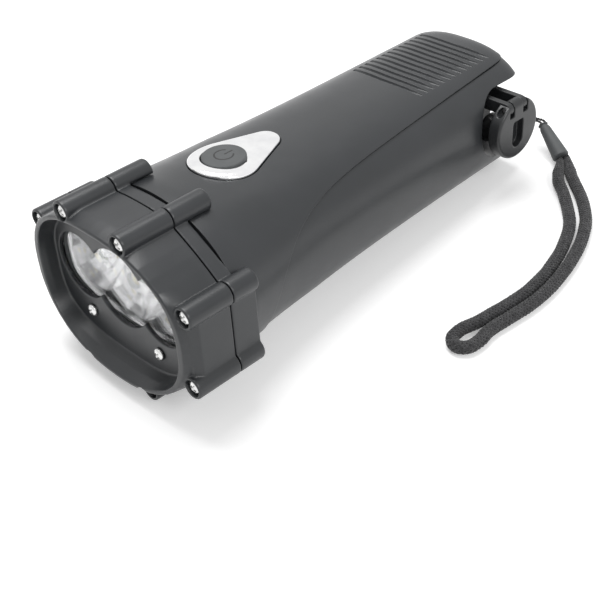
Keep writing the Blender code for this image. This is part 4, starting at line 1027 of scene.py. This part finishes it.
def make_upper_shell():
    shell = hollow_barrel("upper_shell_moulding", 0.0)
    cut(shell, below_line("lower_part", 0.0))
    recess = loft("recess", [over_barrel(drop_outline(gap), height) for height in (overrun, -plate_seat - gap)])
    button_room = rod(
        "button_room", "Z", (0.0, switch_y, 0.0), button_skirt_z - button_travel - gap, waist_half_height * 2,
        button_radius + gap,
    )
    stem_hole = rod(
        "stem_hole", "Z", (0.0, switch_y, 0.0), board_top_z, waist_half_height * 2, button_stem_radius + gap
    )
    cut(shell, recess, button_room, stem_hole, groove_cutter())
    return finished(shell, "torch_body", body_plastic, "upper_shell")


def rear_slot(name, radius, start_x, end_x):
    rear = (barrel_length + overrun, crank_z)
    outline = two_circles((crank_y, crank_z), radius, rear, radius - overrun / 1000, 48)
    return extrusion(name, "X", outline, start_x, end_x)


def make_lower_shell():
    shell = hollow_barrel("lower_shell_moulding", lower_shell_inset)
    keep_inside(shell, below_line("lower_part", seam))
    reach = barrel_half_width(flare_end)
    outside = barrel_body("outside", lower_shell_inset + gap / 2, barrel_start, barrel_length, ring_points)
    cup = rear_slot("cup", pocket_radius + cup_wall, pocket_floor_x - cup_wall, reach)
    add(shell, keep_inside(cup, outside))
    eye_y = barrel_length + eye_radius
    eye = turned(
        "eye", "X", (0.0, eye_y, eye_z),
        [
            (eye_x - eye_thickness / 2, eye_radius - gap), (eye_x - eye_thickness / 2 + gap, eye_radius),
            (eye_x + eye_thickness / 2 - gap, eye_radius), (eye_x + eye_thickness / 2, eye_radius - gap),
        ],
    )
    root = block(
        "eye_root",
        (eye_x - eye_thickness / 2, barrel_length - wall / 2, eye_z - eye_radius),
        (eye_x + eye_thickness / 2, eye_y, eye_z + eye_radius),
    )
    add(shell, add(eye, root))
    pocket = rear_slot("pocket", pocket_radius, pocket_floor_x, reach + overrun)
    bearing = rod("bearing", "X", (0.0, crank_y, crank_z), 0.0, reach, hub_shaft_radius + slip)
    eye_hole = rod("eye_hole", "X", (0.0, eye_y, eye_z), 0.0, reach, eye_hole_radius)
    cut(shell, pocket, bearing, eye_hole)
    screw_room = [
        rod("screw_room", "Z", (x, y, 0.0), -reach, body_screw_seat_z, body_screw_head_radius + gap, 32)
        for x, y in body_screw_places
    ]
    cut(shell, joined(screw_room))
    return finished(shell, "torch_body", body_plastic, "lower_shell")


# Screws

def make_screw(name, axis, centre, way, head_radius, head_height, radius, length, material, node):
    """A pan-head screw with a cross recess and a threaded-looking shank."""
    crown = head_height * 0.75
    profile = []
    for step in range(6):
        turn = math.pi / 2 * (0.12 + 0.88 * step / 5)
        profile.append((way * crown * (1 - math.cos(turn)), head_radius * math.sin(turn)))
    profile += [(way * head_height, head_radius), (way * head_height, radius)]
    threads = 6
    for thread in range(threads):
        start = head_height + length * thread / threads
        profile.append((way * (start + length / threads * 0.25), radius * 0.86))
        profile.append((way * (start + length / threads * 0.75), radius))
    profile.append((way * (head_height + length), radius * 0.7))
    screw = turned(name, axis, centre, profile, 32)
    arm, width, depth = head_radius * 0.62, head_radius * 0.15, head_height * 0.62
    blades = []
    for turn in (0.6, 0.6 + math.pi / 2):
        rings = []
        for along, share in ((-way * head_height, 1.1), (0.0, 1.0), (way * depth, 0.35)):
            ring = []
            reach = arm * share
            for across, thick in ((-reach, -width), (reach, -width), (reach, width), (-reach, width)):
                u = across * math.cos(turn) - thick * math.sin(turn)
                v = across * math.sin(turn) + thick * math.cos(turn)
                ring.append(Vector(centre) + on_axis(axis, along, u, v))
            rings.append(ring)
        blades.append(loft("blade", rings))
    cut(screw, *blades)
    return finished(screw, "torch_body", material, node)


def make_screws():
    for number, (x, z, start) in enumerate(boss_places, start=1):
        make_screw(
            f"bezel_screw_{number}_bright", "Y", (x, start + bezel_screw_depth, z),
            1, bezel_screw_head_radius,
            bezel_screw_head_height, bezel_screw_radius, bezel_screw_length,
            screw_steel, f"bezel_screw_{number}",
        )
    top = ledge_depth - gap - reflector_screw_head_height
    for side, x in (("left", -reflector_screw_x), ("right", reflector_screw_x)):
        make_screw(
            f"ledge_screw_{side}_bright", "Y", (x, top, reflector_screw_z), 1, reflector_screw_head_radius,
            reflector_screw_head_height, reflector_screw_radius, reflector_screw_length, screw_steel,
            f"reflector_screw_{side}",
        )
    names = ("front_left", "front_right", "rear_left", "rear_right")
    for name, (x, y) in zip(names, body_screw_places):
        top = body_screw_seat_z - gap - body_screw_head_height
        make_screw(
            f"body_screw_{name}_steel", "Z", (x, y, top), 1, body_screw_head_radius, body_screw_head_height,
            body_screw_radius, body_screw_length - gap, steel, f"body_screw_{name}",
        )


# Reflector, lens and LEDs

flange_front_y = ledge_depth + ledge_thickness + gap
lens_y = flange_front_y + gasket_thickness + gap
recess_y = lens_y + lens_thickness + gap
cup_end_y = recess_y + cup_depth
led_board_y = cup_end_y + gap


def cup_radius(mouth_radius, y):
    share = min(max((cup_end_y - y) / cup_depth, 0.0), 1.0)
    return led_hole_radius + (mouth_radius - led_hole_radius) * math.sqrt(share)


def make_reflector():
    """Three chromed cups, each ground into flat facets."""
    outline = superellipse(flange_half_width, flange_half_height, mouth_squareness, 96)
    flange_end_y = flange_front_y + flange_thickness
    body = loft("reflector_facets", [at_depth(outline, y) for y in (flange_front_y, flange_end_y)])
    steps = 3
    stops = [recess_y + cup_depth * (1 - (1 - step / steps) ** 2) for step in range(steps + 1)]
    hollows = []
    for x, radius in cells:
        centre = (x, 0.0, cell_height)
        outer = [(y, cup_radius(radius, y) + reflector_wall) for y in stops]
        add(body, turned("cup", "Y", centre, outer, 20, phase=0.3))
        inner = [(recess_y - overrun, radius)] + [(y, cup_radius(radius, y)) for y in stops]
        inner.append((cup_end_y + overrun, led_hole_radius))
        hollows.append(turned("cup_room", "Y", centre, inner, 10, phase=0.3))
    recess = superellipse(lens_half_width + gap, lens_half_height + gap, mouth_squareness, 96, cell_height)
    cut(body, loft("recess", [at_depth(recess, y) for y in (flange_front_y - overrun, recess_y)]), *hollows)
    holes = [
        rod(
            "screw_hole", "Y", (x, 0.0, reflector_screw_z),
            flange_front_y - overrun, flange_end_y + overrun, reflector_screw_radius + gap, 24,
        )
        for x in (-reflector_screw_x, reflector_screw_x)
    ]
    cut(body, joined(holes))
    return finished(body, "torch_body", mirror, "reflector", sharp=math.radians(4))


def make_lens():
    edge = 0.0002
    rings = []
    for y, inset in (
        (lens_y, edge), (lens_y + edge, 0.0), (lens_y + lens_thickness - edge, 0.0),
        (lens_y + lens_thickness, edge)
    ):
        outline = superellipse(lens_half_width - inset, lens_half_height - inset, mouth_squareness, 96, cell_height)
        rings.append(at_depth(outline, y))
    return finished(loft("lens_window", rings), "torch_body", lens_clear, "lens")


def make_leds():
    base = led_board_y - gap
    for name, (x, _) in zip(("led_left", "led_centre", "led_right"), cells):
        straight_end = base - led_length + led_radius
        profile = [
            (base, led_collar_radius), (base - led_collar_thickness, led_collar_radius),
            (base - led_collar_thickness, led_radius), (straight_end, led_radius),
        ]
        for step in range(1, 10):
            turn = math.pi / 2 * step / 9.2
            profile.append((straight_end - led_radius * math.sin(turn), led_radius * math.cos(turn)))
        dome = turned(f"{name}_dome", "Y", (x, 0.0, cell_height), profile, 40)
        finished(dome, "torch_body", led_clear, name)
        chip_y = straight_end + led_radius / 2
        cup = [(chip_y + chip_half_width, chip_half_width), (chip_y, chip_half_width * 1.5), (chip_y, chip_half_width)]
        cup.append((chip_y + chip_half_width / 2, chip_half_width * 0.8))
        finished(turned(f"{name}_chip", "Y", (x, 0.0, cell_height), cup, 24), "torch_body", phosphor)


# Switch

def make_switch_plate():
    """The chromed drop: a rounded edge, a slightly dished face and a rounded hole for the button."""
    profile = [(0.0, -plate_seat), (0.0, plate_edge_rise)]
    steps = 6
    for step in range(1, steps + 1):
        turn = math.pi / 2 * step / steps
        rise = plate_edge_rise + (plate_rise - plate_edge_rise) * math.sin(turn)
        profile.append((-plate_bevel * (1 - math.cos(turn)), rise))
    rings = [over_barrel(drop_outline(margin), height) for margin, height in profile]
    edge = drop_outline(-plate_bevel)
    centre = Vector((0.0, switch_y))
    hole = []
    for point in edge:
        away = (Vector(point) - centre).normalized()
        hole.append(centre + away * (button_radius + gap))
    for share, sink in ((0.35, 0.0), (0.75, 0.00004), (0.93, 0.00008)):
        ring = [Vector(point).lerp(rim, share) for point, rim in zip(edge, hole)]
        rings.append(over_barrel(ring, plate_rise - sink))
    rings.append(over_barrel(hole, plate_rise - 0.0003))
    rings.append(over_barrel(hole, -plate_seat))
    body = loft("switch_plate_chromed", rings, joined_up=True)
    return finished(body, "torch_body", chrome, "switch_plate")


def make_button():
    """The rubber button, with the usual power sign in its cap."""
    stem_low_z = tact_top_z + tact_plunger_rise + gap
    low = button_skirt_z
    shoulder = button_top_z - button_crown
    profile = [(stem_low_z, button_stem_radius), (low, button_stem_radius), (low, button_radius)]
    for step in range(9):
        turn = math.pi / 2 * step / 8
        edge_radius = button_radius - button_crown * (1 - math.cos(turn))
        profile.append((shoulder + button_crown * 0.7 * math.sin(turn), edge_radius))
    for share in (0.75, 0.5, 0.25, 0.08):
        rise = 0.7 + 0.3 * (1 - share * share)
        profile.append((shoulder + button_crown * rise, (button_radius - button_crown) * share))
    body = turned("power_button_rubber", "Z", (0.0, switch_y, 0.0), profile, 72)
    finished(body, "button", dark_rubber, "power_button")

    def sign_stroke(name, points):
        """A flat stroke with round ends, laid on the cap's dome."""
        rings = []
        height = sign_line * 0.3
        for index, point in enumerate(points):
            ahead = points[min(index + 1, len(points) - 1)]
            behind = points[max(index - 1, 0)]
            along = (ahead - behind).normalized()
            side = Vector((-along.y, along.x)) * sign_line
            ring = []
            for across, up in ((-1.0, -1.0), (1.0, -1.0), (0.8, 0.6), (0.0, 1.0), (-0.8, 0.6)):
                place = point + side * across
                share = (place - Vector((0.0, switch_y))).length / (button_radius - button_crown)
                top = shoulder + button_crown * (0.7 + 0.3 * (1 - share * share))
                ring.append(Vector((place.x, place.y, top + height * up * 0.5)))
            rings.append(ring)
        return finished(loft(name, rings), "button", sign_paint)

    centre = Vector((0.0, switch_y))
    arc = []
    for step in range(33):
        turn = math.pi / 2 + sign_opening + (math.tau - 2 * sign_opening) * step / 32
        arc.append(centre + Vector((math.cos(turn), math.sin(turn))) * sign_radius)
    sign_stroke("power_sign_ring", arc)
    bar = [centre + Vector((0.0, sign_radius * (0.1 + 1.1 * step / 4))) for step in range(5)]
    sign_stroke("power_sign_bar", bar)


# Crank

crank_centre = (0.0, crank_y, crank_z)
fold_x = arm_inner_x + arm_thickness / 2
fold_z = crank_z + fold_offset
knob_z = crank_z + knob_offset
ear_half_span = knuckle_half_width + slip + ear_thickness
hub_x = pocket_floor_x + gap


def make_hub():
    face = hub_x + hub_thickness
    edge = arm_edge
    profile = [
        (hub_x - cup_wall, hub_shaft_radius), (hub_x, hub_shaft_radius), (hub_x, hub_radius),
        (face - edge, hub_radius), (face, hub_radius - edge),
    ]
    hub = turned("crank_hub_moulding", "X", crank_centre, profile, 96)
    for side in (-1, 1):
        near = crank_y + side * (knuckle_half_width + slip)
        far = crank_y + side * ear_half_span
        low_y, high_y = min(near, far), max(near, far)
        stem = block(
            "stem", (face - hub_thickness / 2, low_y, fold_z - knuckle_radius),
            (fold_x, high_y, fold_z + knuckle_radius)
        )
        add(hub, add(stem, rod("ear", "Y", (fold_x, 0.0, fold_z), low_y, high_y, knuckle_radius)))
    pin_hole = rod(
        "pin_hole", "Y", (fold_x, 0.0, fold_z), crank_y - hub_radius,
        crank_y + hub_radius, fold_pin_radius + slip
    )
    cut(hub, pin_hole)
    softened(hub, 0.00016, 3, 0.4)
    return finished(hub, "crank", crank_plastic_painted_shade, "crank_hub", sharp=None)


def make_arm():
    outer_x = arm_inner_x + arm_thickness
    profile = [(arm_inner_x, arm_radius - arm_edge / 2), (arm_inner_x + arm_edge / 2, arm_radius)]
    for step in range(7):
        turn = math.pi / 2 * step / 6
        edge_radius = arm_radius - arm_edge * (1 - math.cos(turn))
        profile.append((outer_x - arm_edge * (1 - math.sin(turn)), edge_radius))
    arm = turned("crank_arm_moulding", "X", crank_centre, profile, 120)
    gate_half = ear_half_span + slip
    gate_low = fold_z - knuckle_radius - gap * 1.5
    gate = block(
        "gate", (arm_inner_x - overrun, crank_y - gate_half, gate_low),
        (outer_x + overrun, crank_y + gate_half, crank_z + arm_radius + overrun),
    )
    slot_low = (crank_y, crank_z + thumb_slot_low_z + thumb_slot_half_width)
    slot_high = (crank_y, crank_z + thumb_slot_high_z - thumb_slot_half_width)
    slot_outline = two_circles(slot_low, thumb_slot_half_width, slot_high, thumb_slot_half_width * 0.999, 24)
    slot = extrusion("thumb_slot", "X", slot_outline, outer_x - thumb_slot_depth, outer_x + overrun)
    cut(arm, gate, slot)
    tongue = block(
        "tongue", (arm_inner_x, crank_y - knuckle_half_width, gate_low - overrun / 2),
        (outer_x, crank_y + knuckle_half_width, fold_z),
    )
    knuckle = rod(
        "knuckle", "Y", (fold_x, 0.0, fold_z), crank_y - knuckle_half_width, crank_y + knuckle_half_width,
        knuckle_radius + slip,
    )
    add(arm, tongue, knuckle)
    pin_end = arm_inner_x - gap - knob_length - gap
    add(arm, rod("knob_pin", "X", (0.0, crank_y, knob_z), pin_end, arm_inner_x + arm_edge, knob_pin_radius))
    pin_hole = rod(
        "pin_hole", "Y", (fold_x, 0.0, fold_z), crank_y - arm_radius,
        crank_y + arm_radius, fold_pin_radius + slip
    )
    cut(arm, pin_hole)
    softened(arm, 0.00016, 3, 0.4)
    finished(arm, "crank_arm_body", crank_plastic_painted_shade, "crank_arm", sharp=None)


def make_knob():
    start = arm_inner_x - gap - knob_length
    end = arm_inner_x - gap
    bore = knob_pin_radius + slip
    profile = [(start, bore), (end, bore), (end, knob_radius - knob_waist)]
    steps = 16
    for step in range(steps + 1):
        share = step / steps
        waist = knob_waist * math.cos(math.tau * share) * -0.5 + knob_waist * 0.5
        round_off = knob_waist * (2 * share - 1) ** 8
        profile.append((end + (start - end) * (0.04 + 0.92 * share), knob_radius - max(waist, round_off)))
    profile.append((start, knob_radius - knob_waist * 1.2))
    knob = turned("crank_knob_grip", "X", (0.0, crank_y, knob_z), profile, 72, joined_up=True)
    return finished(knob, "knob", crank_plastic_painted_shade, "crank_knob")


make_bezel()
make_collar()
make_upper_shell()
make_lower_shell()
make_screws()
make_reflector()
make_lens()
make_leds()
make_switch_plate()
make_button()
make_hub()
make_arm()
make_knob()

# Solids that keep their own shape get a material each
plain_looks = {
    "battery_cell": wrap_green, "battery_cradle": nylon, "board_screw": steel, "crank_fold_pin": steel,
    "drive_gear": nylon, "first_idler": nylon, "second_idler": nylon,
    "gearbox": steel, "generator_can": steel,
    "generator_coil": copper, "hub_retainer": steel, "knob_screw": steel, "led_board": board_green,
    "lens_gasket": dark_rubber, "main_board": board_green, "rotor_magnet": magnet_grey, "rotor_shaft": steel,
    "tact_plunger": nylon, "tact_switch": magnet_grey,
}
for node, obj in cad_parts.items():
    for start, material in plain_looks.items():
        if node.startswith(start):
            obj.data.materials.clear()
            obj.data.materials.append(material)


# Floor, lamps and surroundings

def seen_directly(tree):
    """1 for rays from the camera, and for those by way of a mirror or glass."""
    path = tree.nodes.new("ShaderNodeLightPath")
    either = tree.nodes.new("ShaderNodeMath")
    either.operation = "MAXIMUM"
    last = tree.nodes.new("ShaderNodeMath")
    last.operation = "MAXIMUM"
    tree.links.new(path.outputs["Is Camera Ray"], either.inputs[0])
    tree.links.new(path.outputs["Is Glossy Ray"], either.inputs[1])
    tree.links.new(either.outputs[0], last.inputs[0])
    tree.links.new(path.outputs["Is Transmission Ray"], last.inputs[1])
    return last.outputs[0]


def make_floor():
    reach = 3.0
    corners = [(-reach, -reach, 0.0), (reach, -reach, 0.0), (reach, reach, 0.0), (-reach, reach, 0.0)]
    floor = solid("floor", corners, [(0, 1, 2, 3)])
    material, tree, shader = shader_of("floor_paper", 0.9)
    ramp(tree, noise(tree, 8.0), shader.inputs["Base Color"], (0.82, 0.82, 0.82), (0.84, 0.84, 0.84))
    shader.inputs["Specular IOR Level"].default_value = 0.0
    shader.inputs["Emission Color"].default_value = (1.0, 1.0, 1.0, 1.0)
    lift = tree.nodes.new("ShaderNodeMath")
    lift.operation = "MULTIPLY"
    lift.inputs[1].default_value = 0.34
    tree.links.new(seen_directly(tree), lift.inputs[0])
    tree.links.new(lift.outputs[0], shader.inputs["Emission Strength"])
    floor.data.materials.append(material)


def make_world():
    world = bpy.data.worlds.new("studio")
    bpy.context.scene.world = world
    world.use_nodes = True
    tree = world.node_tree
    background = tree.nodes["Background"]
    background.inputs["Color"].default_value = (1.0, 1.0, 1.0, 1.0)
    spread = tree.nodes.new("ShaderNodeMapRange")
    spread.inputs["To Min"].default_value = 0.45
    spread.inputs["To Max"].default_value = 1.0
    tree.links.new(seen_directly(tree), spread.inputs["Value"])
    tree.links.new(spread.outputs["Result"], background.inputs["Strength"])


def make_lamp(name, place, target, size, power):
    data = bpy.data.lights.new(name, "AREA")
    data.shape = "DISK"
    data.size = size
    data.energy = power
    lamp = bpy.data.objects.new(name, data)
    lamp.location = place
    lamp.rotation_euler = (Vector(target) - Vector(place)).to_track_quat("-Z", "Y").to_euler()
    bpy.context.scene.collection.objects.link(lamp)


make_floor()
make_world()
make_lamp("key", (-0.20, 0.10, 0.85), (0.0, 0.0, 0.02), 0.60, 6.0)
make_lamp("side", (0.55, -0.10, 0.45), (0.0, -0.03, 0.03), 0.22, 1.6)
bpy.context.scene.view_settings.view_transform = "Standard"
